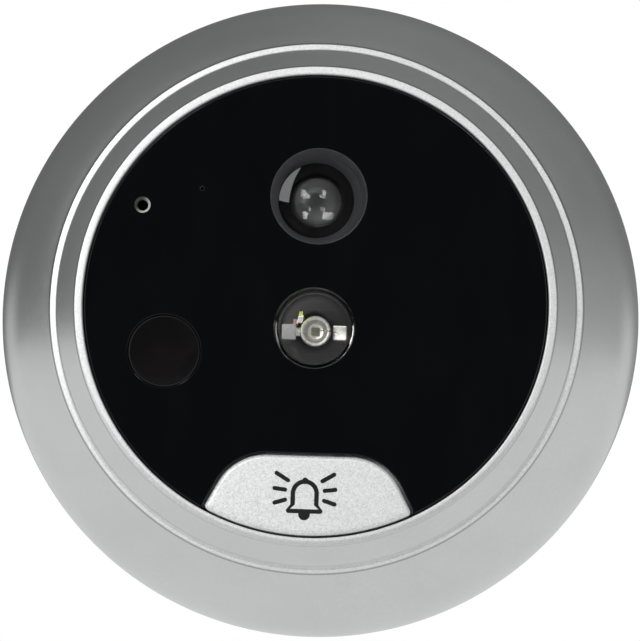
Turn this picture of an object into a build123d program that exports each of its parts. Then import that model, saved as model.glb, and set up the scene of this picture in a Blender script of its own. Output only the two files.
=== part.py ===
from build123d import *

import os
from math import asin, cos, radians, sin, sqrt

# Outdoor camera and bell unit of an electronic door viewer.
#
# Frame: +Z up, the face looks along -Y, +Y points into the door.  The origin is on the axis of the
# door hole, in the plane of the door's outer face.  Every depth is a distance in front of that
# plane, so depth 14 is y = -14.  Left and right are as seen facing the unit: left is -X.
# Millimetres throughout.  Through cuts run a little past the faces they open.

os.makedirs("parts", exist_ok=True)

# ---------------------------------------------------------------- driving dimensions
# bezel
RIM_R = 33.0            # widest radius
RIM_DEPTH = 2.45        # depth of the widest circle
BEZEL_BACK = 0.6        # depth of the rear edge
DOME_R = 10.93          # section radius of the outer dome
WALL = 1.8
LAND2_IN, LAND2_OUT = 26.50, 27.12   # outer bright land
LAND2_DEPTH = 12.35
LAND1_OUT = 24.42       # inner bright land runs from the opening to here
LAND1_DEPTH = 14.25
OPENING_R = 23.65       # bore the panel sits in
SHOULDER_DEPTH = 10.9   # inside shoulder the carrier stops against
SHOULDER_R = 25.6
BEZEL_BORE_R = 31.2     # bore the rear cover sits in

# panel and the tape behind it
PANEL_R = 23.5
PANEL_FRONT, PANEL_BACK = 14.0, 12.4
TAPE_BACK = 12.25
TAPE_IN, TAPE_OUT = 21.6, 23.3

# features on the face, (x, z)
CAM = (0.0, 11.13)
LENS = (-0.42, 11.13)      # the lens stack sits a little left of the centre of its well
LED = (0.0, -2.36)
PIR = (-15.16, -5.14)
MIC = (-17.92, 9.74)
STATUS = (-11.9, 11.6)
SWITCH = (0.0, -18.6)

CAM_BORE_R = 4.33       # narrow end of the camera well, and the hood's mouth
LED_BORE_R = 4.12       # panel hole and sleeve round the lamp

# bell push
BTN_TOP_Z = -15.42
BTN_TOP_HALF = 4.2
BTN_SHOULDER_R = 5.6
BTN_SIDE_DEG = 62.0
BTN_ARC_R = 23.45
BTN_FLANGE_R = 23.3
BTN_FACE = 14.9
BTN_FLANGE_BACK, BTN_FLANGE_FRONT = 11.1, 12.3
BTN_GAP = 0.28
STEM_BACK = 9.9         # where the push's stem meets the switch plunger
GUIDE_PINS = [(7.2, -19.4), (-7.2, -19.4)]

# carrier
CARRIER_R = 23.45
CARRIER_FLANGE_R = 25.3
CARRIER_FLANGE_BORE_R = 22.6
CARRIER_BACK = 10.8
CARRIER_FLANGE_BACK = 9.4
WELL_BACK, WELL_FLOOR = 9.2, 10.2
BOARD_POSTS = [(15.15, 10.6), (15.15, -10.6), (-9.25, 16.0), (-11.4, -14.6)]

# boards
PCB_R = 22.0
PCB_BACK, PCB_FRONT = 5.2, 6.2
CAM_PCB_BACK, CAM_PCB_FRONT = 7.0, 7.6

# leads and pins that pass through the main board
LEAD_TAIL = 4.5         # depth reached by the sensor leads and switch pins
LED_TAIL = 4.7          # depth reached by the trimmed lamp leads
LED_LEADS = [(LED[0] + dx, LED[1]) for dx in (-1.9, 1.9)]
PIR_LEAD_CIRCLE_R = 2.1
SWITCH_PINS = [
    (SWITCH[0] + side_x * 3.25, SWITCH[1] + side_z * 2.0) for side_x in (-1, 1) for side_z in (-1, 1)
]

# rear cover and fixing
COVER_R = 31.0
COVER_BACK, COVER_FRONT = 0.9, 2.9
PILLAR_CIRCLE_R = 24.15
PILLARS = [
    (PILLAR_CIRCLE_R * cos(radians(a)), PILLAR_CIRCLE_R * sin(radians(a)))
    for a in (0, 60, 120, 180, 224, 316)
]
GASKET_IN, GASKET_OUT = 14.0, 25.0
GASKET_SEAT = 1.6
GASKET_CLEARANCE = 0.1
SEAL_DEPTH = 1.95       # mid-depth of the seal round the rim
CASE_SCREW_CIRCLE_R = 28.3
CASE_SCREW_ANGLE = 90.0
BOSS_R = 2.6
SPIGOT_R, SPIGOT_BORE = 6.9, 5.9     # for a 14 mm door hole
SPIGOT_LENGTH = 12.0
POST_X, POST_R = 3.9, 1.9
POSTS = [(POST_X, 0), (-POST_X, 0)]
POST_END = -20.0
POST_TAP_R = 1.25       # M3 tapping size
POST_TAP_DEPTH = 12.0
POST_STUB_R = 1.2       # M2.5 stub through the cover
CABLE_W, CABLE_T = 8.0, 0.3
CABLE_START, CABLE_END = 4.2, -52.0


# ---------------------------------------------------------------- helpers
def face_plane(depth):
    """Plane parallel to the door at a depth in front of it, looking out of the face."""
    return Plane.XZ.offset(depth)


def section_at(x, z):
    """Half-section plane through an axis parallel to Y: local x is radius, local y is global Y."""
    return Plane(origin=(x, 0, z), x_dir=(1, 0, 0), z_dir=(0, 0, 1))


def axis_at(x, z):
    return Axis((x, 0, z), (0, 1, 0))


def turned(centre, profile):
    """Part turned about the axis at centre from straight-sided (radius, y) points."""
    with BuildPart() as piece:
        with BuildSketch(section_at(*centre)):
            with BuildLine():
                Polyline(*profile, profile[0])
            make_face()
        revolve(axis=axis_at(*centre))
    return piece


def cap(radius, edge_y, apex_y):
    """Edge, middle and apex of the half-section of a spherical cap."""
    rise = edge_y - apex_y
    ball = (radius**2 + rise**2) / (2 * abs(rise))
    way = 1 if rise > 0 else -1
    angle = asin(radius / ball) / 2
    middle = (ball * sin(angle), apex_y + way * (ball - ball * cos(angle)))
    return (radius, edge_y), middle, (0, apex_y)


def flipped(point):
    """The point mirrored left to right."""
    return (-point[0], point[1])


def case_screw_spots():
    return PolarLocations(CASE_SCREW_CIRCLE_R, 3, start_angle=CASE_SCREW_ANGLE)


# ---------------------------------------------------------------- bell push outline
def shoulder_point(angle):
    """Point on the right shoulder arc, at an angle turned from the top edge."""
    return (
        BTN_TOP_HALF + BTN_SHOULDER_R * sin(angle),
        BTN_TOP_Z - BTN_SHOULDER_R * (1 - cos(angle)),
    )


side_angle = radians(BTN_SIDE_DEG)
top_corner = (BTN_TOP_HALF, BTN_TOP_Z)
mid_shoulder = shoulder_point(side_angle / 2)
knee = shoulder_point(side_angle)
# the straight side runs on from the knee until it meets the bottom arc
side_run = (cos(side_angle), -sin(side_angle))
knee_along = knee[0] * side_run[0] + knee[1] * side_run[1]
side_length = -knee_along + sqrt(knee_along**2 - knee[0] ** 2 - knee[1] ** 2 + BTN_ARC_R**2)
foot = (knee[0] + side_length * side_run[0], knee[1] + side_length * side_run[1])

with BuildSketch() as button_outline:
    with BuildLine():
        Line(flipped(top_corner), top_corner)
        ThreePointArc(top_corner, mid_shoulder, knee)
        Line(knee, foot)
        ThreePointArc(foot, (0, -BTN_ARC_R), flipped(foot))
        Line(flipped(foot), flipped(knee))
        ThreePointArc(flipped(knee), flipped(mid_shoulder), flipped(top_corner))
    make_face()
    fillet(button_outline.vertices().group_by(Axis.Y)[0], radius=0.5)

# ---------------------------------------------------------------- bezel
DOME_END_DEG, DOME_MID_DEG = 28.0, 59.0     # measured from the -Y direction
CAVITY_FRONT = 16.0                         # in front of everything on the bezel
PILOT_R, PILOT_DEPTH = 1.0, 8.2

dome_centre = (RIM_R - DOME_R, -RIM_DEPTH)


def dome_point(radius, degrees):
    """Point at a radius from the dome's section centre."""
    angle = radians(degrees)
    return (dome_centre[0] + radius * sin(angle), dome_centre[1] - radius * cos(angle))


inner_dome_r = DOME_R - WALL
shoulder_sin = (SHOULDER_R - dome_centre[0]) / inner_dome_r
shoulder_y = dome_centre[1] - inner_dome_r * sqrt(1 - shoulder_sin**2)
dome_end = dome_point(DOME_R, DOME_END_DEG)
rear_rim = (RIM_R - 0.45, -BEZEL_BACK - 0.3)
band_foot = (LAND2_IN - 0.02, -LAND2_DEPTH - 0.12)
band_top = (LAND1_OUT + 0.10, -LAND1_DEPTH + 0.20)

# inside space, less the three screw bosses
with BuildPart() as bezel_cavity:
    with BuildSketch(Plane.XY):
        with BuildLine():
            Polyline((0, 1), (BEZEL_BORE_R, 1), (BEZEL_BORE_R, -RIM_DEPTH))
            ThreePointArc(
                (BEZEL_BORE_R, -RIM_DEPTH),
                dome_point(inner_dome_r, DOME_MID_DEG),
                (SHOULDER_R, shoulder_y),
            )
            Polyline(
                (SHOULDER_R, shoulder_y),
                (SHOULDER_R, -SHOULDER_DEPTH),
                (OPENING_R, -SHOULDER_DEPTH),
                (OPENING_R, -CAVITY_FRONT),
                (0, -CAVITY_FRONT),
                (0, 1),
            )
        make_face()
    revolve(axis=Axis.Y)
    with BuildSketch(face_plane(COVER_FRONT + 0.05)):
        with case_screw_spots():
            Circle(BOSS_R)
    extrude(amount=12, mode=Mode.SUBTRACT)

with BuildPart() as bezel:
    with BuildSketch(Plane.XY):
        with BuildLine():
            Polyline((0, -BEZEL_BACK), (RIM_R - 0.75, -BEZEL_BACK), rear_rim)
            ThreePointArc(rear_rim, (RIM_R - 0.12, -BEZEL_BACK - 1.05), (RIM_R, -RIM_DEPTH))
            ThreePointArc((RIM_R, -RIM_DEPTH), dome_point(DOME_R, DOME_MID_DEG), dome_end)
            # outer land, with a small riser behind and in front of it
            Polyline(
                dome_end,
                (LAND2_OUT + 0.06, -LAND2_DEPTH + 0.10),
                (LAND2_OUT - 0.06, -LAND2_DEPTH),
                (LAND2_IN + 0.05, -LAND2_DEPTH),
                band_foot,
            )
            # crowned band between the two lands
            ThreePointArc(band_foot, (25.62, -13.38), band_top)
            # inner land, then across to the axis
            Polyline(
                band_top,
                (LAND1_OUT - 0.04, -LAND1_DEPTH),
                (OPENING_R + 0.15, -LAND1_DEPTH),
                (OPENING_R, -LAND1_DEPTH + 0.15),
                (0, -LAND1_DEPTH + 0.15),
                (0, -BEZEL_BACK),
            )
        make_face()
    revolve(axis=Axis.Y)
    add(bezel_cavity.part, mode=Mode.SUBTRACT)
    # pilot holes for the case screws, in the three bosses
    with BuildSketch(face_plane(0)):
        with case_screw_spots():
            Circle(PILOT_R)
    extrude(amount=PILOT_DEPTH, mode=Mode.SUBTRACT)

# ---------------------------------------------------------------- front panel
PIR_HOLE_R = 3.74
STATUS_HOLE_R = 0.2
PANEL_CHAMFER = 0.2
CAM_WELL_FRONT_R = 4.88
MIC_PORT_R, MIC_MOUTH_R = 0.55, 0.84
MIC_SINK = 0.4          # depth of the countersink

with BuildPart() as front_panel:
    with BuildSketch(face_plane(PANEL_BACK)):
        Circle(PANEL_R)
        with Locations(PIR):
            Circle(PIR_HOLE_R, mode=Mode.SUBTRACT)
        with Locations(LED):
            Circle(LED_BORE_R, mode=Mode.SUBTRACT)
        with Locations(STATUS):
            Circle(STATUS_HOLE_R, mode=Mode.SUBTRACT)
    extrude(amount=PANEL_FRONT - PANEL_BACK)
    chamfer(
        front_panel.faces().sort_by(Axis.Y)[0].outer_wire().edges(), length=PANEL_CHAMFER
    )
    # notch for the bell push
    with BuildSketch(face_plane(PANEL_BACK - 1)):
        add(button_outline.sketch)
        offset(amount=BTN_GAP)
    extrude(amount=4, mode=Mode.SUBTRACT)
    # tapered camera well
    with BuildSketch(section_at(*CAM)):
        with BuildLine():
            Polyline(
                (0, -PANEL_FRONT - 0.5),
                (5.05, -PANEL_FRONT - 0.5),
                (CAM_WELL_FRONT_R, -PANEL_FRONT),
                (CAM_BORE_R, -PANEL_BACK),
                (CAM_BORE_R, -PANEL_BACK + 0.5),
                (0, -PANEL_BACK + 0.5),
                (0, -PANEL_FRONT - 0.5),
            )
        make_face()
    revolve(axis=axis_at(*CAM), mode=Mode.SUBTRACT)
    # microphone port with a countersunk mouth
    with BuildSketch(section_at(*MIC)):
        with BuildLine():
            Polyline(
                (0, -PANEL_FRONT - 0.2),
                (1.0, -PANEL_FRONT - 0.2),
                (MIC_MOUTH_R, -PANEL_FRONT),
                (MIC_PORT_R, -PANEL_FRONT + MIC_SINK),
                (MIC_PORT_R, -PANEL_BACK + 0.5),
                (0, -PANEL_BACK + 0.5),
                (0, -PANEL_FRONT - 0.2),
            )
        make_face()
    revolve(axis=axis_at(*MIC), mode=Mode.SUBTRACT)

with BuildPart() as panel_tape:
    with BuildSketch(face_plane(TAPE_BACK)):
        Circle(TAPE_OUT)
        Circle(TAPE_IN, mode=Mode.SUBTRACT)
        with BuildSketch(mode=Mode.PRIVATE) as tape_gap:
            add(button_outline.sketch)
            offset(amount=1.2)
        add(tape_gap.sketch, mode=Mode.SUBTRACT)
        with Locations(MIC):
            Circle(2.35, mode=Mode.SUBTRACT)
    extrude(amount=PANEL_BACK - TAPE_BACK)

# ---------------------------------------------------------------- carrier
WELL_OUTER, WELL_INNER = 1.8, 0.95      # well walls, offsets from the button outline
BOARD_POST_R, BOARD_POST_HOLE_R = 2.0, 0.8
BOARD_POST_HOLE_DEPTH = 4.2
CARRIER_HOLES = [(CAM, 5.7), (LED, 5.4), (PIR, 4.0), (MIC, 2.25), (STATUS, 0.7)]  # centre, radius
PIR_LEDGE_DEPTH, PIR_LEDGE_R = 11.28, 4.6
STEM_HOLE_R, GUIDE_HOLE_R = 1.9, 0.9

with BuildPart() as carrier:
    with BuildSketch(face_plane(CARRIER_BACK)):
        Circle(CARRIER_R)
    extrude(amount=TAPE_BACK - CARRIER_BACK)
    with BuildSketch(face_plane(CARRIER_FLANGE_BACK)):
        Circle(CARRIER_FLANGE_R)
        Circle(CARRIER_FLANGE_BORE_R, mode=Mode.SUBTRACT)
    extrude(amount=CARRIER_BACK - CARRIER_FLANGE_BACK)
    # bell push well
    with BuildSketch(face_plane(WELL_BACK)):
        add(button_outline.sketch)
        offset(amount=WELL_OUTER)
        Circle(CARRIER_R, mode=Mode.INTERSECT)
    extrude(amount=CARRIER_BACK - WELL_BACK)
    with BuildSketch(face_plane(WELL_FLOOR)):
        add(button_outline.sketch)
        offset(amount=WELL_INNER)
    extrude(amount=3, mode=Mode.SUBTRACT)
    # board posts
    with BuildSketch(face_plane(PCB_FRONT)):
        with Locations(*BOARD_POSTS):
            Circle(BOARD_POST_R)
    extrude(amount=CARRIER_BACK - PCB_FRONT)
    with BuildSketch(face_plane(PCB_FRONT)):
        with Locations(*BOARD_POSTS):
            Circle(BOARD_POST_HOLE_R)
    extrude(amount=BOARD_POST_HOLE_DEPTH, mode=Mode.SUBTRACT)
    # openings for the camera, lamp, sensor, microphone and indicator
    with BuildSketch(face_plane(8)):
        for centre, radius in CARRIER_HOLES:
            with Locations(centre):
                Circle(radius)
    extrude(amount=6, mode=Mode.SUBTRACT)
    # ledge behind the sensor window's flange
    with BuildSketch(face_plane(PIR_LEDGE_DEPTH)):
        with Locations(PIR):
            Circle(PIR_LEDGE_R)
    extrude(amount=2, mode=Mode.SUBTRACT)
    # stem and guide pin holes in the well floor
    with BuildSketch(face_plane(WELL_BACK - 0.5)):
        with Locations(SWITCH):
            Circle(STEM_HOLE_R)
        with Locations(*GUIDE_PINS):
            Circle(GUIDE_HOLE_R)
    extrude(amount=3, mode=Mode.SUBTRACT)

# ---------------------------------------------------------------- bell symbol outline
SYMBOL = (-0.32, -21.05)     # foot of the bell symbol
STROKE = 0.45
BELL_R = 1.42
BELL_INNER_R = BELL_R - STROKE
BELL_CENTRE_Z = 1.8          # centre of the dome above the foot
SYMBOL_POCKET = 0.25
SYMBOL_HEIGHT = 0.27         # stands just proud of the push

# flared foot, right half from the top down, (x, z) from SYMBOL
FOOT_OUTER = [(BELL_R, 0.66), (1.7, 0.27), (1.6, -0.22)]
FOOT_INNER = [(BELL_INNER_R, 0.64), (1.46, 0.21)]
# right-hand rays, inner and outer point, (x, z) from SYMBOL
RAYS = [
    ((1.74, 3.08), (2.90, 3.78)),
    ((2.00, 2.12), (3.06, 2.25)),
    ((1.97, 1.11), (3.01, 0.78)),
]


def on_symbol(x, z):
    """Point given from the foot of the symbol."""
    return (SYMBOL[0] + x, SYMBOL[1] + z)


def both_halves(right_half):
    """Closed symbol outline: down the left, then up the right."""
    left = [on_symbol(-x, z) for x, z in right_half]
    right = [on_symbol(x, z) for x, z in reversed(right_half)]
    return left + right + left[:1]


with BuildSketch() as bell_outline:
    # dome and skirt
    with Locations(on_symbol(0, BELL_CENTRE_Z)):
        Circle(BELL_R)
    with Locations(on_symbol(0, 1.1)):
        Rectangle(2 * BELL_R, 1.4)
    # flared foot with rounded tips
    with BuildLine():
        Polyline(*both_halves(FOOT_OUTER))
    make_face()
    with Locations(on_symbol(-1.58, 0.04), on_symbol(1.58, 0.04)):
        Circle(0.26)
    # open inside
    with Locations(on_symbol(0, BELL_CENTRE_Z)):
        Circle(BELL_INNER_R, mode=Mode.SUBTRACT)
    with Locations(on_symbol(0, 1.2)):
        Rectangle(2 * BELL_INNER_R, 1.2, mode=Mode.SUBTRACT)
    with BuildLine():
        Polyline(*both_halves(FOOT_INNER))
    make_face(mode=Mode.SUBTRACT)
    # crown and clapper
    with Locations(on_symbol(0, 3.07)):
        Circle(0.32)
    with Locations(on_symbol(0, -0.33)):
        Circle(0.58)
    with Locations(on_symbol(0, 0.26)):
        Rectangle(1.3, 0.1, mode=Mode.SUBTRACT)

with BuildSketch() as bell_rays:
    for sign in (-1, 1):
        for (inner_x, inner_z), (outer_x, outer_z) in RAYS:
            with BuildLine(mode=Mode.PRIVATE) as ray:
                Line(on_symbol(sign * inner_x, inner_z), on_symbol(sign * outer_x, outer_z))
            SlotCenterPoint(ray.line @ 0.5, ray.line @ 1, STROKE - 0.03)

# ---------------------------------------------------------------- bell push
BTN_EDGE_FILLET = 0.45
BTN_FLANGE_LIP = 0.75
BTN_WALL = 1.3
BTN_HOLLOW = 2.4
STEM_R = 1.6
GUIDE_PIN_R, GUIDE_PIN_BACK, GUIDE_PIN_LENGTH = 0.8, 9.4, 4.5
RIB_BACK, RIB_Z, RIB_SIZE = 12.0, -19.0, (15, 0.8)

with BuildPart() as bell_button:
    with BuildSketch(face_plane(BTN_FLANGE_FRONT)):
        add(button_outline.sketch)
    extrude(amount=BTN_FACE - BTN_FLANGE_FRONT)
    fillet(
        bell_button.faces().sort_by(Axis.Y)[0].outer_wire().edges(), radius=BTN_EDGE_FILLET
    )
    # retaining flange behind the panel
    with BuildSketch(face_plane(BTN_FLANGE_BACK)):
        add(button_outline.sketch)
        offset(amount=BTN_FLANGE_LIP)
        Circle(BTN_FLANGE_R, mode=Mode.INTERSECT)
    extrude(amount=BTN_FLANGE_FRONT - BTN_FLANGE_BACK)
    # hollow back
    with BuildSketch(face_plane(BTN_FLANGE_BACK)):
        add(button_outline.sketch)
        offset(amount=-BTN_WALL)
    extrude(amount=BTN_HOLLOW, mode=Mode.SUBTRACT)
    # stem that works the switch, two guide pins and a stiffening rib
    with BuildSketch(face_plane(STEM_BACK)):
        with Locations(SWITCH):
            Circle(STEM_R)
    extrude(amount=4)
    with BuildSketch(face_plane(GUIDE_PIN_BACK)):
        with Locations(*GUIDE_PINS):
            Circle(GUIDE_PIN_R)
    extrude(amount=GUIDE_PIN_LENGTH)
    with BuildSketch(face_plane(RIB_BACK)):
        with Locations((0, RIB_Z)):
            Rectangle(*RIB_SIZE)
    extrude(amount=2)
    # pocket for the symbol
    with BuildSketch(face_plane(BTN_FACE - SYMBOL_POCKET)):
        add(bell_outline.sketch)
        add(bell_rays.sketch)
    extrude(amount=1, mode=Mode.SUBTRACT)

with BuildPart() as bell_symbol:
    with BuildSketch(face_plane(BTN_FACE - SYMBOL_POCKET)):
        add(bell_outline.sketch)
        add(bell_rays.sketch)
    extrude(amount=SYMBOL_HEIGHT)

# ring round the stem, on the well floor
button_seal = turned(SWITCH, [
    (1.65, -WELL_FLOOR),
    (3.4, -WELL_FLOOR),
    (3.4, -WELL_FLOOR - 0.14),
    (2.0, -WELL_FLOOR - 0.25),
    (1.65, -WELL_FLOOR - 0.25),
])

# ---------------------------------------------------------------- tact switch
SWITCH_SIZE, SWITCH_CORNER = 6.0, 0.4
SWITCH_BODY_HEIGHT = 2.3
SWITCH_FLOOR = 0.6
SWITCH_POCKET_R = 2.55
SWITCH_COVER_HOLE_R, SWITCH_COVER_T = 1.7, 0.3
SNAP_EDGE_Y = -6.82                             # rim of the snap dome
SNAP_OUTER_R, SNAP_INNER_R = 2.4, 2.1
SNAP_OUTER_APEX_Y, SNAP_INNER_APEX_Y = -7.22, -7.14
PLUNGER_BACK = 7.6
PLUNGER_BASE_R, PLUNGER_BASE_T = 2.4, 0.8
PLUNGER_R = 1.6
PIN_SECTION, PIN_LENGTH = (0.3, 0.6), 3.0

with BuildPart() as switch_body:
    with BuildSketch(face_plane(PCB_FRONT)):
        with Locations(SWITCH):
            RectangleRounded(SWITCH_SIZE, SWITCH_SIZE, SWITCH_CORNER)
    extrude(amount=SWITCH_BODY_HEIGHT)
    with BuildSketch(face_plane(PCB_FRONT + SWITCH_FLOOR)):
        with Locations(SWITCH):
            Circle(SWITCH_POCKET_R)
    extrude(amount=2, mode=Mode.SUBTRACT)

with BuildPart() as switch_cover:
    with BuildSketch(face_plane(PCB_FRONT + SWITCH_BODY_HEIGHT)):
        with Locations(SWITCH):
            RectangleRounded(SWITCH_SIZE, SWITCH_SIZE, SWITCH_CORNER)
            Circle(SWITCH_COVER_HOLE_R, mode=Mode.SUBTRACT)
    extrude(amount=SWITCH_COVER_T)

with BuildPart() as switch_dome:
    with BuildSketch(section_at(*SWITCH)):
        with BuildLine():
            ThreePointArc(*cap(SNAP_OUTER_R, SNAP_EDGE_Y, SNAP_OUTER_APEX_Y))
            Line((0, SNAP_OUTER_APEX_Y), (0, SNAP_INNER_APEX_Y))
            ThreePointArc(*cap(SNAP_INNER_R, SNAP_EDGE_Y, SNAP_INNER_APEX_Y)[::-1])
            Line((SNAP_INNER_R, SNAP_EDGE_Y), (SNAP_OUTER_R, SNAP_EDGE_Y))
        make_face()
    revolve(axis=axis_at(*SWITCH))

with BuildPart() as switch_plunger:
    with BuildSketch(face_plane(PLUNGER_BACK)):
        with Locations(SWITCH):
            Circle(PLUNGER_BASE_R)
    extrude(amount=PLUNGER_BASE_T)
    with BuildSketch(face_plane(PLUNGER_BACK)):
        with Locations(SWITCH):
            Circle(PLUNGER_R)
    extrude(amount=STEM_BACK - PLUNGER_BACK)

with BuildPart() as switch_pins:
    with BuildSketch(face_plane(LEAD_TAIL)):
        with Locations(*SWITCH_PINS):
            Rectangle(*PIN_SECTION)
    extrude(amount=PIN_LENGTH)

# ---------------------------------------------------------------- camera
HOOD_BACK, HOOD_FRONT = 10.85, 12.35
HOOD_R, HOOD_BACK_BORE_R = 5.6, 3.85
FILTER_BACK, FILTER_R, FILTER_T = 8.42, 2.6, 0.3
HOLDER_SIZE, HOLDER_CORNER, HOLDER_HEIGHT = 10.4, 0.8, 1.2
COLLAR_R, COLLAR_BORE_R, COLLAR_HEIGHT = 5.15, 4.55, 1.6
HOLDER_FLOOR = 0.7
HOLDER_WINDOW = 6.2
IMAGER_SIZE, IMAGER_T = (5.0, 4.2), 0.55
CAM_PCB_SIZE, CAM_PCB_CORNER = 11.2, 0.6
CAM_CONNECTOR_SIZE, CAM_CONNECTOR_CORNER = (7.0, 2.6), 0.3

with BuildPart() as lens_hood:
    with BuildSketch(face_plane(HOOD_BACK)):
        with Locations(CAM):
            Circle(HOOD_R)
    extrude(amount=HOOD_FRONT - HOOD_BACK)
    # the tapered bore leans from the well's centre to the lens's centre
    with BuildSketch(face_plane(HOOD_BACK)):
        with Locations(LENS):
            Circle(HOOD_BACK_BORE_R)
    with BuildSketch(face_plane(HOOD_FRONT)):
        with Locations(CAM):
            Circle(CAM_BORE_R)
    loft(mode=Mode.SUBTRACT)

# domed in front, hollowed behind, with a square-edged rim
with BuildPart() as front_lens:
    with BuildSketch(section_at(*LENS)):
        with BuildLine():
            ThreePointArc(*cap(3.8, -10.8, -12.3))
            Line((0, -12.3), (0, -11.3))
            ThreePointArc(*cap(2.6, -10.0, -11.3)[::-1])
            Polyline((2.6, -10.0), (4.3, -10.0), (4.3, -10.8), (3.8, -10.8))
        make_face()
    revolve(axis=axis_at(*LENS))

lens_barrel = turned(LENS, [
    (2.0, -8.75), (2.65, -8.75), (2.65, -8.4), (4.5, -8.4),
    (4.5, -9.3), (5.2, -9.3), (5.2, -10.8), (4.35, -10.8),
    (4.35, -9.98), (2.55, -9.98), (2.55, -9.2), (2.0, -9.2),
])

# flat behind, domed in front
with BuildPart() as inner_lens:
    with BuildSketch(section_at(*LENS)):
        with BuildLine():
            Polyline((0, -9.22), (2.5, -9.22), (2.5, -9.9))
            ThreePointArc(*cap(2.5, -9.9, -10.42))
            Line((0, -10.42), (0, -9.22))
        make_face()
    revolve(axis=axis_at(*LENS))

with BuildPart() as infrared_filter:
    with BuildSketch(face_plane(FILTER_BACK)):
        with Locations(LENS):
            Circle(FILTER_R)
    extrude(amount=FILTER_T)

with BuildPart() as lens_holder:
    with BuildSketch(face_plane(CAM_PCB_FRONT)):
        with Locations(LENS):
            RectangleRounded(HOLDER_SIZE, HOLDER_SIZE, HOLDER_CORNER)
    extrude(amount=HOLDER_HEIGHT)
    # collar round the barrel
    with BuildSketch(face_plane(CAM_PCB_FRONT)):
        with Locations(LENS):
            Circle(COLLAR_R)
    extrude(amount=COLLAR_HEIGHT)
    with BuildSketch(face_plane(CAM_PCB_FRONT + HOLDER_FLOOR)):
        with Locations(LENS):
            Circle(COLLAR_BORE_R)
    extrude(amount=2, mode=Mode.SUBTRACT)
    # square window round the image sensor
    with BuildSketch(face_plane(CAM_PCB_FRONT)):
        with Locations(LENS):
            Rectangle(HOLDER_WINDOW, HOLDER_WINDOW)
    extrude(amount=1, mode=Mode.SUBTRACT)

with BuildPart() as image_sensor:
    with BuildSketch(face_plane(CAM_PCB_FRONT)):
        with Locations(LENS):
            Rectangle(*IMAGER_SIZE)
    extrude(amount=IMAGER_T)

with BuildPart() as camera_board:
    with BuildSketch(face_plane(CAM_PCB_BACK)):
        with Locations(LENS):
            RectangleRounded(CAM_PCB_SIZE, CAM_PCB_SIZE, CAM_PCB_CORNER)
    extrude(amount=CAM_PCB_FRONT - CAM_PCB_BACK)

with BuildPart() as camera_connector:
    with BuildSketch(face_plane(PCB_FRONT)):
        with Locations(LENS):
            RectangleRounded(*CAM_CONNECTOR_SIZE, CAM_CONNECTOR_CORNER)
    extrude(amount=CAM_PCB_BACK - PCB_FRONT)

# ---------------------------------------------------------------- lamp
LED_PAD_BACK, LED_PAD_T, LED_PAD_CORNER = 9.0, 0.4, 0.15
LED_LEAD_SIDE = 0.5
LED_CHIP_SIDE, LED_CHIP_BACK, LED_CHIP_T = 0.8, 9.76, 0.2
LED_BACK_Y = -6.6
LED_APEX_Y = -14.35
SLEEVE_R, SLEEVE_WIDE_BORE_R = 5.3, 4.65
SLEEVE_FRONT, SLEEVE_STEP = 12.3, 7.7

with BuildPart() as led_leads:
    # reflector cup, bridged to the left-hand lead
    with BuildSketch(section_at(*LED)):
        with BuildLine():
            Polyline(
                (0, -9.4),
                (1.3, -9.4),
                (1.3, -10.4),
                (0.98, -10.4),
                (0.65, -9.75),
                (0, -9.75),
                (0, -9.4),
            )
        make_face()
    revolve(axis=axis_at(*LED))
    # pad and bridge on the left, pad on the right
    with BuildSketch(face_plane(LED_PAD_BACK)):
        with Locations((LED[0] - 2.2, LED[1])):
            RectangleRounded(1.2, 1.3, LED_PAD_CORNER)
        with Locations((LED[0] - 1.3, LED[1])):
            Rectangle(0.9, 0.7)
        with Locations((LED[0] + 1.95, LED[1])):
            RectangleRounded(1.2, 1.24, LED_PAD_CORNER)
    extrude(amount=LED_PAD_T)
    with BuildSketch(face_plane(LED_TAIL)):
        with Locations(*LED_LEADS):
            Rectangle(LED_LEAD_SIDE, LED_LEAD_SIDE)
    extrude(amount=LED_PAD_BACK + 0.1 - LED_TAIL)

with BuildPart() as led_chip:
    with BuildSketch(face_plane(LED_CHIP_BACK)):
        with Locations(LED):
            Rectangle(LED_CHIP_SIDE, LED_CHIP_SIDE)
    extrude(amount=LED_CHIP_T)

# flanged body with a domed front, moulded round the leads and chip
with BuildPart() as led_body:
    with BuildSketch(section_at(*LED)):
        with BuildLine():
            Polyline(
                (0, LED_BACK_Y), (4.6, LED_BACK_Y), (4.6, -7.6), (4.0, -7.6), (4.0, -13.0)
            )
            ThreePointArc((4.0, -13.0), (3.9, -13.32), (3.6, -13.5))
            ThreePointArc(*cap(3.6, -13.5, LED_APEX_Y))
            Line((0, LED_APEX_Y), (0, LED_BACK_Y))
        make_face()
    revolve(axis=axis_at(*LED))
    add(led_leads.part, mode=Mode.SUBTRACT)
    add(led_chip.part, mode=Mode.SUBTRACT)

# sleeve from the main board forward, its bore wider round the lamp's flange
led_sleeve = turned(LED, [
    (SLEEVE_WIDE_BORE_R, -PCB_FRONT),
    (SLEEVE_R, -PCB_FRONT),
    (SLEEVE_R, -SLEEVE_FRONT),
    (LED_BORE_R, -SLEEVE_FRONT),
    (LED_BORE_R, -SLEEVE_STEP),
    (SLEEVE_WIDE_BORE_R, -SLEEVE_STEP),
])

# ---------------------------------------------------------------- motion sensor
PIR_BACK = 6.8
PIR_WINDOW_DEPTH = 10.1     # floor of the recess the filter sits in
PIR_FILTER_T = 0.25
PIR_LEAD_R = 0.22


def pir_lead_spots():
    return PolarLocations(PIR_LEAD_CIRCLE_R, 3, start_angle=45)


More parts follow.
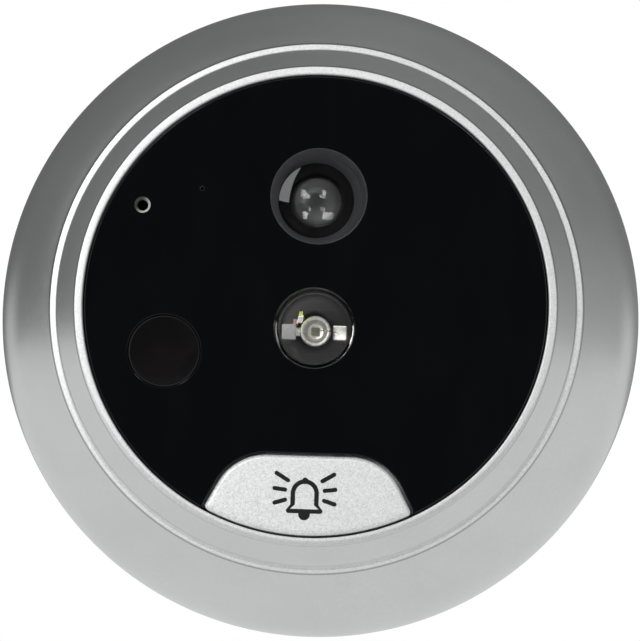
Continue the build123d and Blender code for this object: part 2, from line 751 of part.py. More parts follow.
# thin-walled cap with a flange at the back and slightly domed faces
with BuildPart() as sensor_window:
    with BuildSketch(section_at(*PIR)):
        with BuildLine():
            Polyline(
                (3.0, -11.3),
                (4.5, -11.3),
                (4.5, -12.3),
                (3.68, -12.3),
                (3.68, -13.78),
                (3.58, -13.9),
            )
            ThreePointArc(*cap(3.58, -13.9, -14.06))
            Line((0, -14.06), (0, -13.4))
            ThreePointArc(*cap(3.0, -13.15, -13.4)[::-1])
            Line((3.0, -13.15), (3.0, -11.3))
        make_face()
    revolve(axis=axis_at(*PIR))

# can with a flange at the back and a recess for the filter
with BuildPart() as motion_sensor:
    with BuildSketch(section_at(*PIR)):
        with BuildLine():
            Polyline(
                (0, -PIR_BACK),
                (4.2, -PIR_BACK),
                (4.2, -7.2),
                (3.8, -7.2),
                (3.8, -10.2),
                (3.6, -10.4),
                (0, -10.4),
                (0, -PIR_BACK),
            )
        make_face()
    revolve(axis=axis_at(*PIR))
    with BuildSketch(face_plane(PIR_WINDOW_DEPTH)):
        with Locations(PIR):
            Rectangle(3.8, 2.9)
    extrude(amount=1, mode=Mode.SUBTRACT)

with BuildPart() as sensor_filter:
    with BuildSketch(face_plane(PIR_WINDOW_DEPTH)):
        with Locations(PIR):
            Rectangle(3.76, 2.86)
    extrude(amount=PIR_FILTER_T)

with BuildPart() as sensor_leads:
    with BuildSketch(face_plane(LEAD_TAIL)):
        with Locations(PIR):
            with pir_lead_spots():
                Circle(PIR_LEAD_R)
    extrude(amount=PIR_BACK - LEAD_TAIL)

# ---------------------------------------------------------------- microphone
MIC_BACK = 9.4
WIRE_R = 0.24

# sleeve round the capsule, narrowing to a sound channel in front
microphone_boot = turned(MIC, [
    (1.52, -9.2), (2.2, -9.2), (2.2, -12.3), (0.5, -12.3), (0.5, -10.75), (1.52, -10.75),
])

# capsule with a small recess in the middle of its front
microphone = turned(MIC, [
    (0, -MIC_BACK), (1.4, -MIC_BACK), (1.5, -9.5), (1.5, -10.6),
    (1.4, -10.7), (0.3, -10.7), (0.3, -10.5), (0, -10.5),
])

# two wires from the capsule back to the main board
with BuildPart() as microphone_wires:
    for dx in (-0.6, 0.6):
        with BuildLine() as wire_line:
            Spline(
                (MIC[0] + dx, -MIC_BACK, MIC[1]),
                (MIC[0] + dx + 0.5, -8.0, MIC[1] - 0.4),
                (MIC[0] + dx + 0.9, -PCB_FRONT, MIC[1] - 0.6),
                tangents=((0, 1, 0), (0, 1, 0)),
            )
        with BuildSketch(wire_line.line ^ 0):
            Circle(WIRE_R)
        sweep(path=wire_line.line)

# ---------------------------------------------------------------- main board
BOARD_SCREW_HOLE_R = 1.1
LED_LEAD_HOLE_R, SWITCH_PIN_HOLE_R, PIR_LEAD_HOLE_R = 0.5, 0.45, 0.35
CHIP_T, SMALL_PART_T, STATUS_T = 0.9, 0.5, 0.6
# centre (x, z), size, corner radius
CHIPS = [
    ((11.0, 0.0), (7.0, 7.0), 0.3),
    ((-9.0, 3.0), (4.0, 4.0), 0.2),
    ((10.0, -12.5), (3.2, 2.5), 0.2),
]
# centres (x, z) of the small parts
SMALL_PARTS = [
    (8.5, 6.2), (10.1, 6.2), (11.7, 6.2), (17.0, 3.0), (17.0, 1.4), (17.0, -0.2),
    (-8.0, -8.5), (-6.4, -8.5), (7.0, -9.5), (-9.5, 7.5), (-9.5, 6.3),
]
SMALL_PART_SIZE = (1.0, 0.5)
LARGER_PART, LARGER_PART_SIZE = (6.6, -13.2), (1.6, 0.8)
SOCKET_BACK = 3.3
BOARD_SCREW_BACK, BOARD_SCREW_TIP = 4.0, 10.0
BOARD_SCREW_HEAD_R, BOARD_SCREW_R = 1.75, 0.77
BOARD_SCREW_FILLET = 0.35
BOARD_CROSS_L, BOARD_CROSS_W = 1.9, 0.4

with BuildPart() as main_board:
    with BuildSketch(face_plane(PCB_BACK)):
        Circle(PCB_R)
        with Locations(*BOARD_POSTS):
            Circle(BOARD_SCREW_HOLE_R, mode=Mode.SUBTRACT)
        # lead holes
        with Locations(*LED_LEADS):
            Circle(LED_LEAD_HOLE_R, mode=Mode.SUBTRACT)
        with Locations(*SWITCH_PINS):
            Circle(SWITCH_PIN_HOLE_R, mode=Mode.SUBTRACT)
        with Locations(PIR):
            with pir_lead_spots():
                Circle(PIR_LEAD_HOLE_R, mode=Mode.SUBTRACT)
    extrude(amount=PCB_FRONT - PCB_BACK)

with BuildPart() as main_chips:
    with BuildSketch(face_plane(PCB_FRONT)):
        for centre, size, corner in CHIPS:
            with Locations(centre):
                RectangleRounded(*size, corner)
    extrude(amount=CHIP_T)

with BuildPart() as chip_parts:
    with BuildSketch(face_plane(PCB_FRONT)):
        with Locations(*SMALL_PARTS):
            Rectangle(*SMALL_PART_SIZE)
        with Locations(LARGER_PART):
            Rectangle(*LARGER_PART_SIZE)
    extrude(amount=SMALL_PART_T)

with BuildPart() as status_light:
    with BuildSketch(face_plane(PCB_FRONT)):
        with Locations(STATUS):
            Rectangle(1.6, 0.8)
    extrude(amount=STATUS_T)

# socket on the back of the board, slotted for the cable
with BuildPart() as cable_socket:
    with BuildSketch(face_plane(SOCKET_BACK)):
        RectangleRounded(2.4, 11.0, 0.3)
    extrude(amount=PCB_BACK - SOCKET_BACK)
    with BuildSketch(face_plane(SOCKET_BACK - 0.3)):
        Rectangle(0.4, 8.2)
    extrude(amount=1.4, mode=Mode.SUBTRACT)

with BuildPart() as board_screws:
    with BuildSketch(face_plane(BOARD_SCREW_BACK)):
        with Locations(*BOARD_POSTS):
            Circle(BOARD_SCREW_HEAD_R)
    extrude(amount=PCB_BACK - BOARD_SCREW_BACK)
    with BuildSketch(face_plane(BOARD_SCREW_BACK)):
        with Locations(*BOARD_POSTS):
            Circle(BOARD_SCREW_R)
    extrude(amount=BOARD_SCREW_TIP - BOARD_SCREW_BACK)
    fillet(board_screws.edges().group_by(Axis.Y)[-1], radius=BOARD_SCREW_FILLET)
    # cross recess
    with BuildSketch(face_plane(BOARD_SCREW_BACK - 0.1)):
        with Locations(*BOARD_POSTS):
            Rectangle(BOARD_CROSS_L, BOARD_CROSS_W)
            Rectangle(BOARD_CROSS_W, BOARD_CROSS_L)
    extrude(amount=0.7, mode=Mode.SUBTRACT)

# ---------------------------------------------------------------- rear cover
COVER_CHAMFER, SPIGOT_CHAMFER = 0.3, 0.4
PILLAR_R = 1.1
PILLAR_CLEARANCE = 0.05     # left between the pillars and the carrier's flange
CASE_SCREW_HOLE_R = 1.3
CASE_CROSS_L, CASE_CROSS_W = 2.4, 0.5

with BuildPart() as rear_cover:
    with BuildSketch(face_plane(COVER_BACK)):
        Circle(COVER_R)
    extrude(amount=COVER_FRONT - COVER_BACK)
    chamfer(
        rear_cover.faces().sort_by(Axis.Y)[-1].outer_wire().edges(), length=COVER_CHAMFER
    )
    # seat for the door gasket
    with BuildSketch(face_plane(0)):
        Circle(GASKET_OUT + GASKET_CLEARANCE)
        Circle(GASKET_IN - GASKET_CLEARANCE, mode=Mode.SUBTRACT)
    extrude(amount=GASKET_SEAT, mode=Mode.SUBTRACT)
    # seal groove round the rim
    with BuildSketch(Plane.XY):
        with Locations((COVER_R, -SEAL_DEPTH)):
            Rectangle(1.7, 1.0)
    revolve(axis=Axis.Y, mode=Mode.SUBTRACT)
    # spigot that enters the door hole
    with BuildSketch(face_plane(-SPIGOT_LENGTH)):
        Circle(SPIGOT_R)
        Circle(SPIGOT_BORE, mode=Mode.SUBTRACT)
    extrude(amount=SPIGOT_LENGTH + COVER_BACK)
    chamfer(
        rear_cover.faces().sort_by(Axis.Y)[-1].outer_wire().edges(), length=SPIGOT_CHAMFER
    )
    # stud holes and cable slot through the web inside the spigot
    with BuildSketch(face_plane(0)):
        with Locations(*POSTS):
            Circle(POST_STUB_R + 0.1)
        RectangleRounded(1.8, 9.2, 0.85)
    extrude(amount=COVER_FRONT + 1, mode=Mode.SUBTRACT)
    # pillars that hold the carrier against the bezel's shoulder
    with BuildSketch(face_plane(COVER_FRONT)):
        with Locations(*PILLARS):
            Circle(PILLAR_R)
    extrude(amount=CARRIER_FLANGE_BACK - PILLAR_CLEARANCE - COVER_FRONT)
    # countersunk case screw holes
    with BuildSketch(face_plane(0)):
        with case_screw_spots():
            Circle(CASE_SCREW_HOLE_R)
    extrude(amount=COVER_FRONT + 0.01, mode=Mode.SUBTRACT)
    for place in case_screw_spots():
        x, z = place.position.X, place.position.Y
        with BuildSketch(section_at(x, z)):
            with BuildLine():
                Polyline(
                    (0, -COVER_BACK + 0.5),
                    (2.32, -COVER_BACK + 0.5),
                    (2.32, -COVER_BACK - 0.15),
                    (1.25, -COVER_BACK - 1.22),
                    (0, -COVER_BACK - 1.22),
                    (0, -COVER_BACK + 0.5),
                )
            make_face()
        revolve(axis=axis_at(x, z), mode=Mode.SUBTRACT)

with BuildPart() as cover_seal:
    with BuildSketch(Plane.XY):
        with Locations((30.67, -SEAL_DEPTH)):
            Circle(0.48)
    revolve(axis=Axis.Y)

with BuildPart() as case_screws:
    for place in case_screw_spots():
        x, z = place.position.X, place.position.Y
        with BuildSketch(section_at(x, z)):
            with BuildLine():
                # countersunk head, plain neck, shank and point
                Polyline(
                    (0, -COVER_BACK - 0.1),
                    (2.2, -COVER_BACK - 0.1),
                    (2.2, -COVER_BACK - 0.2),
                    (1.2, -COVER_BACK - 1.2),
                    (1.2, -2.75),
                    (0.97, -2.9),
                    (0.97, -7.4),
                    (0.4, -8.0),
                    (0, -8.0),
                    (0, -COVER_BACK - 0.1),
                )
            make_face()
        revolve(axis=axis_at(x, z))
    # cross recess
    with BuildSketch(face_plane(0)):
        with case_screw_spots():
            Rectangle(CASE_CROSS_L, CASE_CROSS_W)
            Rectangle(CASE_CROSS_W, CASE_CROSS_L)
    extrude(amount=COVER_BACK + 1.0, mode=Mode.SUBTRACT)

with BuildPart() as door_gasket:
    with BuildSketch(face_plane(0)):
        Circle(GASKET_OUT)
        Circle(GASKET_IN, mode=Mode.SUBTRACT)
    extrude(amount=GASKET_SEAT)

# ---------------------------------------------------------------- fixing posts
POST_CHAMFER = 0.25
STUB_FRONT = 4.5
NUT_APOTHEM, NUT_T = 2.5, 1.5

with BuildPart() as mounting_posts:
    with BuildSketch(face_plane(POST_END)):
        with Locations(*POSTS):
            Circle(POST_R)
    extrude(amount=-POST_END + COVER_BACK)
    chamfer(mounting_posts.edges().group_by(Axis.Y)[-1], length=POST_CHAMFER)
    with BuildSketch(face_plane(COVER_BACK)):
        with Locations(*POSTS):
            Circle(POST_STUB_R)
    extrude(amount=STUB_FRONT - COVER_BACK)
    with BuildSketch(face_plane(POST_END)):
        with Locations(*POSTS):
            Circle(POST_TAP_R)
    extrude(amount=POST_TAP_DEPTH, mode=Mode.SUBTRACT)

with BuildPart() as post_nuts:
    with BuildSketch(face_plane(COVER_FRONT)):
        with Locations(*POSTS):
            RegularPolygon(NUT_APOTHEM, 6, major_radius=False, rotation=30)
            Circle(POST_STUB_R + 0.03, mode=Mode.SUBTRACT)
    extrude(amount=NUT_T)

# ---------------------------------------------------------------- cable
GROMMET_BACK = 0.3
BEND_START_Y, BEND_END_Y = 20.5, 44.5       # the cable waves sideways between these
STIFFENER_LENGTH, STIFFENER_T = 6.0, 0.2
STIFFENER_X = 0.16                          # just clear of the cable's right face

with BuildPart() as cable_grommet:
    # lip behind the cover, then the plug through its slot
    with BuildSketch(face_plane(GROMMET_BACK)):
        RectangleRounded(2.4, 9.8, 1.1)
    extrude(amount=COVER_BACK - GROMMET_BACK)
    with BuildSketch(face_plane(COVER_BACK)):
        RectangleRounded(1.76, 9.16, 0.84)
    extrude(amount=COVER_FRONT - COVER_BACK)
    with BuildSketch(face_plane(-1)):
        Rectangle(CABLE_T + 0.06, CABLE_W + 0.06)
    extrude(amount=6, mode=Mode.SUBTRACT)

with BuildPart() as door_cable:
    with BuildLine() as cable_line:
        Line((0, -CABLE_START, 0), (0, BEND_START_Y, 0))
        Spline(
            (0, BEND_START_Y, 0),
            (1.3, 28.5, 0),
            (-0.9, 37.5, 0),
            (0, BEND_END_Y, 0),
            tangents=((0, 1, 0), (0, 1, 0)),
        )
        Line((0, BEND_END_Y, 0), (0, -CABLE_END, 0))
    with BuildSketch(Plane(origin=(0, -CABLE_START, 0), x_dir=(1, 0, 0), z_dir=(0, 1, 0))):
        Rectangle(CABLE_T, CABLE_W)
    sweep(path=cable_line.line)

with BuildPart() as cable_stiffener:
    with BuildSketch(Plane(origin=(STIFFENER_X, 0, 0), x_dir=(0, 1, 0), z_dir=(1, 0, 0))):
        with Locations((-CABLE_END - STIFFENER_LENGTH / 2, 0)):
            Rectangle(STIFFENER_LENGTH, CABLE_W)
    extrude(amount=STIFFENER_T)

# ---------------------------------------------------------------- labels and files
pieces = {
    "bezel": bezel,
    "front_panel": front_panel,
    "panel_tape": panel_tape,
    "carrier": carrier,
    "bell_button": bell_button,
    "bell_symbol": bell_symbol,
    "button_seal": button_seal,
    "switch_body": switch_body,
    "switch_cover": switch_cover,
    "switch_dome": switch_dome,
    "switch_plunger": switch_plunger,
    "switch_pins": switch_pins,
    "lens_hood": lens_hood,
    "front_lens": front_lens,
    "inner_lens": inner_lens,
    "lens_barrel": lens_barrel,
    "lens_holder": lens_holder,
    "infrared_filter": infrared_filter,
    "image_sensor": image_sensor,
    "camera_board": camera_board,
    "camera_connector": camera_connector,
    "led_body": led_body,
    "led_leads": led_leads,
    "led_chip": led_chip,
    "led_sleeve": led_sleeve,
    "sensor_window": sensor_window,
    "motion_sensor": motion_sensor,
    "sensor_filter": sensor_filter,
    "sensor_leads": sensor_leads,
    "microphone": microphone,
    "microphone_boot": microphone_boot,
    "microphone_wires": microphone_wires,
    "main_board": main_board,
    "main_chips": main_chips,
    "chip_parts": chip_parts,
    "status_light": status_light,
    "cable_socket": cable_socket,
    "board_screws": board_screws,
    "rear_cover": rear_cover,
    "cover_seal": cover_seal,
    "case_screws": case_screws,
    "door_gasket": door_gasket,
    "mounting_posts": mounting_posts,
    "post_nuts": post_nuts,
    "cable_grommet": cable_grommet,
    "door_cable": door_cable,
    "cable_stiffener": cable_stiffener,
}
for name, piece in pieces.items():
    piece.part.label = name
    export_step(piece.part, f"parts/{name}.step")
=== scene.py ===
"""A round video doorbell: silver bezel, black front panel, bell push, camera, lamp, sensor window.

X is to the right and Z up, seen from the front. The front faces -Y, the flat cable leaves
towards +Y, and the bezel's axis is the Y axis. Lengths are in millimetres unless a comment says
otherwise. A "depth" is a distance towards the front, so y = -depth.
"""
from math import asin, atan2, ceil, cos, pi, radians, sin, sqrt, tan

import bmesh
import bpy
from mathutils import Matrix, Vector


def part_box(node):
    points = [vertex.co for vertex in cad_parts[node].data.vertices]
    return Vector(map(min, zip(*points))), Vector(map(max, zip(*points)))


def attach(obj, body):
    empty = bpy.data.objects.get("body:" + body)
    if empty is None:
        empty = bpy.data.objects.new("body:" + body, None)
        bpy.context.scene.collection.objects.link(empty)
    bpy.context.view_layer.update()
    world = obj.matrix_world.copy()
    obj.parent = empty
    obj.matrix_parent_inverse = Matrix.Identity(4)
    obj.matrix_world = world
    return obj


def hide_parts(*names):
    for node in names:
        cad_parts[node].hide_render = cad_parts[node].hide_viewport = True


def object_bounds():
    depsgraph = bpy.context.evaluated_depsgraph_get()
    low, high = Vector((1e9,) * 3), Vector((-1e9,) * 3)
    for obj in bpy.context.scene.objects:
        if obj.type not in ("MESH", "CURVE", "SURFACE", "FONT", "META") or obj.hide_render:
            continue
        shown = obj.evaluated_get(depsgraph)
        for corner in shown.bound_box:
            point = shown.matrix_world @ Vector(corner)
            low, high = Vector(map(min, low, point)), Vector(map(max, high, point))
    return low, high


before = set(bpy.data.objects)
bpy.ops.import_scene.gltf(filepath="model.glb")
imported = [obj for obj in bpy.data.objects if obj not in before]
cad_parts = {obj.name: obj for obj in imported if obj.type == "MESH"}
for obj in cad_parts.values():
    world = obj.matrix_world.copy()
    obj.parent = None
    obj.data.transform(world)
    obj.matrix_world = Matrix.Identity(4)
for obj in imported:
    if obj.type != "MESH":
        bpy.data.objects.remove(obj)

cad_lo, cad_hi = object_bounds()
MM = 0.001  # metres in a millimetre

# Centres on the front, as (x, z)
CAMERA = (0.0, 11.13)
LENS_SHIFT = -0.42
LENS = (CAMERA[0] + LENS_SHIFT, CAMERA[1])
LAMP = (0.0, -2.36)
SENSOR = (-15.16, -5.14)
MICROPHONE = (-17.92, 9.74)
STATUS = (-11.9, 11.6)
SWITCH = (0.0, -18.6)


# ---------------------------------------------------------------- outlines
def wrapped(angle):
    """The same angle between -pi and pi."""
    return (angle + pi) % (2 * pi) - pi


def arc3(first, middle, last, steps=12):
    """steps + 1 points along the circle through three points, from first to last."""
    (ax, ay), (bx, by), (cx, cy) = first, middle, last
    area = 2 * (ax * (by - cy) + bx * (cy - ay) + cx * (ay - by))
    a2, b2, c2 = ax**2 + ay**2, bx**2 + by**2, cx**2 + cy**2
    ux = (a2 * (by - cy) + b2 * (cy - ay) + c2 * (ay - by)) / area
    uy = (a2 * (cx - bx) + b2 * (ax - cx) + c2 * (bx - ax)) / area
    radius = sqrt((ax - ux) ** 2 + (ay - uy) ** 2)
    start, via, end = [atan2(y - uy, x - ux) for x, y in (first, middle, last)]
    turn = (end - start) % (2 * pi)
    if (via - start) % (2 * pi) > turn:
        turn -= 2 * pi
    angles = [start + turn * i / steps for i in range(steps + 1)]
    return [(ux + radius * cos(a), uy + radius * sin(a)) for a in angles]


def cap(radius, edge, apex, steps):
    """Points on the spherical cap section from (radius, edge) to (0, apex)."""
    rise = edge - apex
    ball = (radius**2 + rise**2) / (2 * abs(rise))
    way = 1 if rise > 0 else -1
    full = asin(min(1.0, radius / ball))
    angles = [full * (1 - i / steps) for i in range(steps)]
    points = [(ball * sin(a), apex + way * (ball - ball * cos(a))) for a in angles]
    return points + [(0.0, apex)]


def rounded(corners, step=12.0):
    """Closed outline from corners (u, v) or (u, v, radius); each radius turns into an arc.

    step is the widest angle in degrees between two points of an arc.
    """
    points = []
    for i, corner in enumerate(corners):
        radius = corner[2] if len(corner) > 2 else 0.0
        tip = Vector(corner[:2])
        if radius <= 0:
            points.append((tip.x, tip.y))
            continue
        before = Vector(corners[i - 1][:2]) - tip
        after = Vector(corners[(i + 1) % len(corners)][:2]) - tip
        angle = before.angle(after)
        # an arc takes no more than 0.48 of either side
        reach = min(radius / tan(angle / 2), 0.48 * before.length, 0.48 * after.length)
        radius = reach * tan(angle / 2)
        before.normalize()
        after.normalize()
        centre = tip + (before + after).normalized() * (radius / sin(angle / 2))
        start = tip + before * reach - centre
        end = tip + after * reach - centre
        start_angle = atan2(start.y, start.x)
        turn = wrapped(atan2(end.y, end.x) - start_angle)
        count = max(2, int(ceil(abs(turn) / radians(step))))
        for j in range(count + 1):
            a = start_angle + turn * j / count
            points.append((centre.x + radius * cos(a), centre.y + radius * sin(a)))
    return points


def clean(points, tolerance=1e-4):
    """Drops points that repeat the one before them, round the closed outline."""

    def apart(p, q):
        return abs(p[0] - q[0]) + abs(p[1] - q[1])

    kept = []
    for p in points:
        if not kept or apart(p, kept[-1]) > tolerance:
            kept.append(p)
    if apart(kept[0], kept[-1]) < tolerance:
        kept.pop()
    return kept


def loop_normals(points):
    """Normals to the left of travel, stretched at corners so an offset keeps its distance."""
    normals = []
    for i in range(len(points)):
        here = Vector(points[i])
        arriving = (here - Vector(points[i - 1])).normalized()
        leaving = (Vector(points[(i + 1) % len(points)]) - here).normalized()
        left = Vector((-arriving.y, arriving.x))
        mean = (left + Vector((-leaving.y, leaving.x))).normalized()
        normals.append(mean / max(0.5, mean.dot(left)))
    return normals


def offset_loop(points, normals, amount):
    return [(p[0] + q.x * amount, p[1] + q.y * amount) for p, q in zip(points, normals)]


def quarter(radius, steps):
    """Steps of a quarter-round edge: (inset, drop) from the wall to the face."""
    angles = [pi / 2 * i / steps for i in range(steps + 1)]
    return [(radius * (1 - cos(a)), radius * (1 - sin(a))) for a in angles]


# ---------------------------------------------------------------- meshes
def finish_mesh(name, bm, slot, node=None, body="housing", sharp_angle=32.0, weighted=True):
    """Turns bm into an object that rides on a body and may stand in for a CAD node."""
    bmesh.ops.remove_doubles(bm, verts=bm.verts, dist=1e-8)
    bmesh.ops.recalc_face_normals(bm, faces=bm.faces)
    mesh = bpy.data.meshes.new(name)
    bm.to_mesh(mesh)
    bm.free()
    mesh.shade_smooth()
    mesh.set_sharp_from_angle(angle=radians(sharp_angle))
    ob = bpy.data.objects.new(name, mesh)
    bpy.context.scene.collection.objects.link(ob)
    if weighted:
        modifier = ob.modifiers.new("even_normals", "WEIGHTED_NORMAL")
        modifier.keep_sharp = True
        modifier.weight = 60
    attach(ob, body)
    if node:
        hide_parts(node)
    return ob


def lathe_into(bm, outline, centre, segments):
    """Spins a closed (radius, y) outline round the axis through centre (x, z), parallel to Y."""
    turns = [2 * pi * k / segments for k in range(segments)]
    rings = []
    for r, y in clean(outline):
        if r < 1e-5:
            rings.append([bm.verts.new((centre[0] * MM, y * MM, centre[1] * MM))])
            continue
        rings.append([
            bm.verts.new(((centre[0] + r * cos(a)) * MM, y * MM, (centre[1] + r * sin(a)) * MM))
            for a in turns
        ])
    for a, b in zip(rings, rings[1:] + rings[:1]):
        if len(a) == 1 and len(b) == 1:
            continue
        for k in range(segments):
            j = (k + 1) % segments
            if len(a) == 1:
                bm.faces.new((a[0], b[k], b[j]))
            elif len(b) == 1:
                bm.faces.new((a[k], b[0], a[j]))
            else:
                bm.faces.new((a[k], b[k], b[j], a[j]))


def lathe(name, outline, node, slot, centre=(0.0, 0.0), segments=256, **finish):
    bm = bmesh.new()
    lathe_into(bm, outline, centre, segments)
    return finish_mesh(name, bm, slot, node, **finish)


def ring_of(bm, points, depth):
    return [bm.verts.new((x * MM, -depth * MM, z * MM)) for x, z in points]


def bridge(bm, a, b, material=0):
    for k in range(len(a)):
        j = (k + 1) % len(a)
        bm.faces.new((a[k], a[j], b[j], b[k])).material_index = material


def bridge_all(bm, rings):
    for a, b in zip(rings, rings[1:]):
        bridge(bm, a, b)


def fill_between(bm, loops, material=0):
    """Flat fill of the region between an outer ring and the rings of its holes."""
    edges = []
    for ring in loops:
        for v, w in zip(ring, ring[1:] + ring[:1]):
            edges.append(bm.edges.get((v, w)) or bm.edges.new((v, w)))
    made = bmesh.ops.triangle_fill(bm, use_beauty=True, use_dissolve=False, edges=edges)
    for face in made["geom"]:
        if isinstance(face, bmesh.types.BMFace):
            face.material_index = material


# ---------------------------------------------------------------- bell push outline
# A flat top, two rounded shoulders, straight sides, and an arc about the bezel's axis below
SIDE_ANGLE = radians(62.0)  # how steeply the sides fall
TOP_Z, TOP_HALF = -15.42, 4.2  # height and half width of the flat top
SHOULDER_R = 5.6
FOOT_R = 23.45  # radius of the lower arc
FOOT_FILLET = 0.5
KNEE = (TOP_HALF + SHOULDER_R * sin(SIDE_ANGLE), TOP_Z - SHOULDER_R * (1 - cos(SIDE_ANGLE)))
SIDE_RUN = (cos(SIDE_ANGLE), -sin(SIDE_ANGLE))  # down the right-hand side


def foot_fillet():
    """Centre and touch points of the rounded corner where the side line meets the lower arc."""
    inward = (-sin(SIDE_ANGLE) * FOOT_FILLET, -cos(SIDE_ANGLE) * FOOT_FILLET)
    ox, oz = KNEE[0] + inward[0], KNEE[1] + inward[1]
    # the centre lies one fillet radius inside the line and inside the arc
    half_b = ox * SIDE_RUN[0] + oz * SIDE_RUN[1]
    along = -half_b + sqrt(half_b**2 - ox**2 - oz**2 + (FOOT_R - FOOT_FILLET) ** 2)
    centre = (ox + along * SIDE_RUN[0], oz + along * SIDE_RUN[1])
    on_line = (centre[0] - inward[0], centre[1] - inward[1])
    outward = FOOT_R / (FOOT_R - FOOT_FILLET)
    return centre, on_line, (centre[0] * outward, centre[1] * outward)


def button_loop():
    """Outline from the middle of the lower arc, anticlockwise seen from the front."""
    centre, on_line, on_arc = foot_fillet()
    foot_angle = atan2(on_arc[0], -on_arc[1])
    angles = [foot_angle * i / 24 for i in range(25)]
    right = [(FOOT_R * sin(a), -FOOT_R * cos(a)) for a in angles]
    start = atan2(on_arc[1] - centre[1], on_arc[0] - centre[0])
    turn = wrapped(atan2(on_line[1] - centre[1], on_line[0] - centre[0]) - start)
    angles = [start + turn * i / 12 for i in range(1, 13)]
    right += [(centre[0] + FOOT_FILLET * cos(a), centre[1] + FOOT_FILLET * sin(a)) for a in angles]
    for i in range(1, 7):
        right.append(tuple(on_line[n] + (KNEE[n] - on_line[n]) * i / 6 for n in (0, 1)))
    angles = [SIDE_ANGLE * (1 - i / 20) for i in range(1, 21)]
    right += [(TOP_HALF + SHOULDER_R * sin(a), TOP_Z - SHOULDER_R * (1 - cos(a))) for a in angles]
    right += [(TOP_HALF * (1 - i / 8), TOP_Z) for i in range(1, 9)]
    left = [(-x, z) for x, z in reversed(right[1:-1])]
    return clean(right + left)


# ---------------------------------------------------------------- bezel
RIM_R, RIM_DEPTH = 33.0, 2.45  # widest place of the bezel
DOME_R = 10.93  # radius of the section of its domed front
BEZEL_WALL = 1.8
DOME_HUB = RIM_R - DOME_R  # radius at which the section's centre sits
INNER_R = DOME_R - BEZEL_WALL
BORE_R, RECESS_R = 23.65, 25.6
BOSS_CIRCLE, BOSS_DEPTH = 28.3, 8.9


def inside_depth(radius):
    """Depth of the inside of the domed wall at a radius."""
    return RIM_DEPTH + sqrt(max(0.0, INNER_R**2 - max(0.0, radius - DOME_HUB) ** 2))


def dome_point(radius, angle):
    """Point of a section arc, angle degrees up from the rim's plane."""
    a = radians(angle)
    return (DOME_HUB + radius * sin(a), -RIM_DEPTH - radius * cos(a))


def build_bezel():
    # tables of (radius, y, corner radius), from the rim towards the bore
    edge_step = [
        (27.36, -11.98), (27.20, -12.13, 0.04), (27.12, -12.36, 0.13),
        (26.54, -12.40, 0.12), (26.47, -12.50, 0.03), (26.40, -12.57),
    ]
    bore_land = [
        (24.62, -13.98), (24.53, -14.05, 0.03), (24.45, -14.24, 0.13),
        (23.72, -14.26, 0.14), (BORE_R, -14.00, 0.05), (BORE_R, -11.2),
    ]
    back_edge = [(31.0, -0.6), (32.25, -0.6, 0.12), (32.62, -0.95, 0.2), (32.86, -1.5)]
    inner_rim = RIM_R - BEZEL_WALL
    outline = (
        [(inner_rim, -0.62)]
        + rounded(back_edge)[1:-1]
        + arc3((32.66, -1.02), (32.9, -1.7), (RIM_R, -RIM_DEPTH), 6)
        + [dome_point(DOME_R, 90 - 62 * i / 56) for i in range(1, 56)]
        + rounded(edge_step)[1:-1]
        + arc3((26.44, -12.54), (25.55, -13.32), (24.56, -14.03), 14)
        + rounded(bore_land)[1:-1]
        + [(BORE_R, -10.95), (RECESS_R, -10.9)]
        + arc3(
            (RECESS_R, -inside_depth(RECESS_R)),
            dome_point(INNER_R, 59),
            (inner_rim, -RIM_DEPTH),
            18,
        )
    )
    return lathe("bezel_shell", outline, "bezel", "silver_paint", segments=360, sharp_angle=40)


def build_bosses():
    """Three hollow screw bosses, their front ends sunk a little into the domed wall."""
    sink = 0.25
    # (radius, y)
    boss = [(1.0, -2.97), (2.5, -2.97), (2.6, -3.07), (2.6, -BOSS_DEPTH), (1.0, -8.2)]
    bm = bmesh.new()
    for a in (90.0, 210.0, 330.0):
        lathe_into(bm, boss, (BOSS_CIRCLE * cos(radians(a)), BOSS_CIRCLE * sin(radians(a))), 48)
    for v in bm.verts:
        if v.co.y < -8.5 * MM:
            r = sqrt(v.co.x**2 + v.co.z**2) / MM
            v.co.y = -min(BOSS_DEPTH, inside_depth(r) + sink) * MM
    return finish_mesh("bezel_bosses", bm, "silver_paint")


# ---------------------------------------------------------------- front panel
PANEL_FRONT, PANEL_BACK, PANEL_R = 14.0, 12.4, 23.5
BUTTON_GAP = 0.28
PANEL_EDGE = 0.14  # radius of the rounded front edge
LIP = 0.03  # narrow flat ring where a wall meets the front face

# material slots of the panel
GLOSS, CONE, PORT, PRINT, PIN = range(5)

# Round holes: centre, radius, segments, profile from back to front as (offset into the
# material, depth), and the slot of each band up to and with the lip (None: all gloss)
HOLES = (
    (SENSOR, 3.74, 128,
     [(0.0, PANEL_BACK)]
     + [(e * 0.5, PANEL_FRONT - d * 0.5) for e, d in quarter(PANEL_EDGE, 6)],
     None),
    (LAMP, 4.12, 144,
     [(0.0, PANEL_BACK), (0.0, PANEL_FRONT - 0.03), (0.03, PANEL_FRONT)],
     None),
    (STATUS, 0.2, 32,
     [(0.0, PANEL_BACK), (0.0, PANEL_FRONT - 0.3), (0.0, PANEL_FRONT - 0.03),
      (0.03, PANEL_FRONT)],
     (GLOSS, PIN, PIN, GLOSS)),
    (CAMERA, 4.88, 192,
     [(-0.55, PANEL_BACK), (-0.03, PANEL_FRONT - 0.09), (0.0, PANEL_FRONT - 0.035),
      (0.05, PANEL_FRONT)],
     (CONE, CONE, CONE, GLOSS)),
    (MICROPHONE, 0.84, 72,
     [(-0.29, PANEL_BACK), (-0.29, PANEL_FRONT - 0.40), (-0.02, PANEL_FRONT - 0.03),
      (0.01, PANEL_FRONT)],
     (GLOSS, PORT, GLOSS, GLOSS)),
)


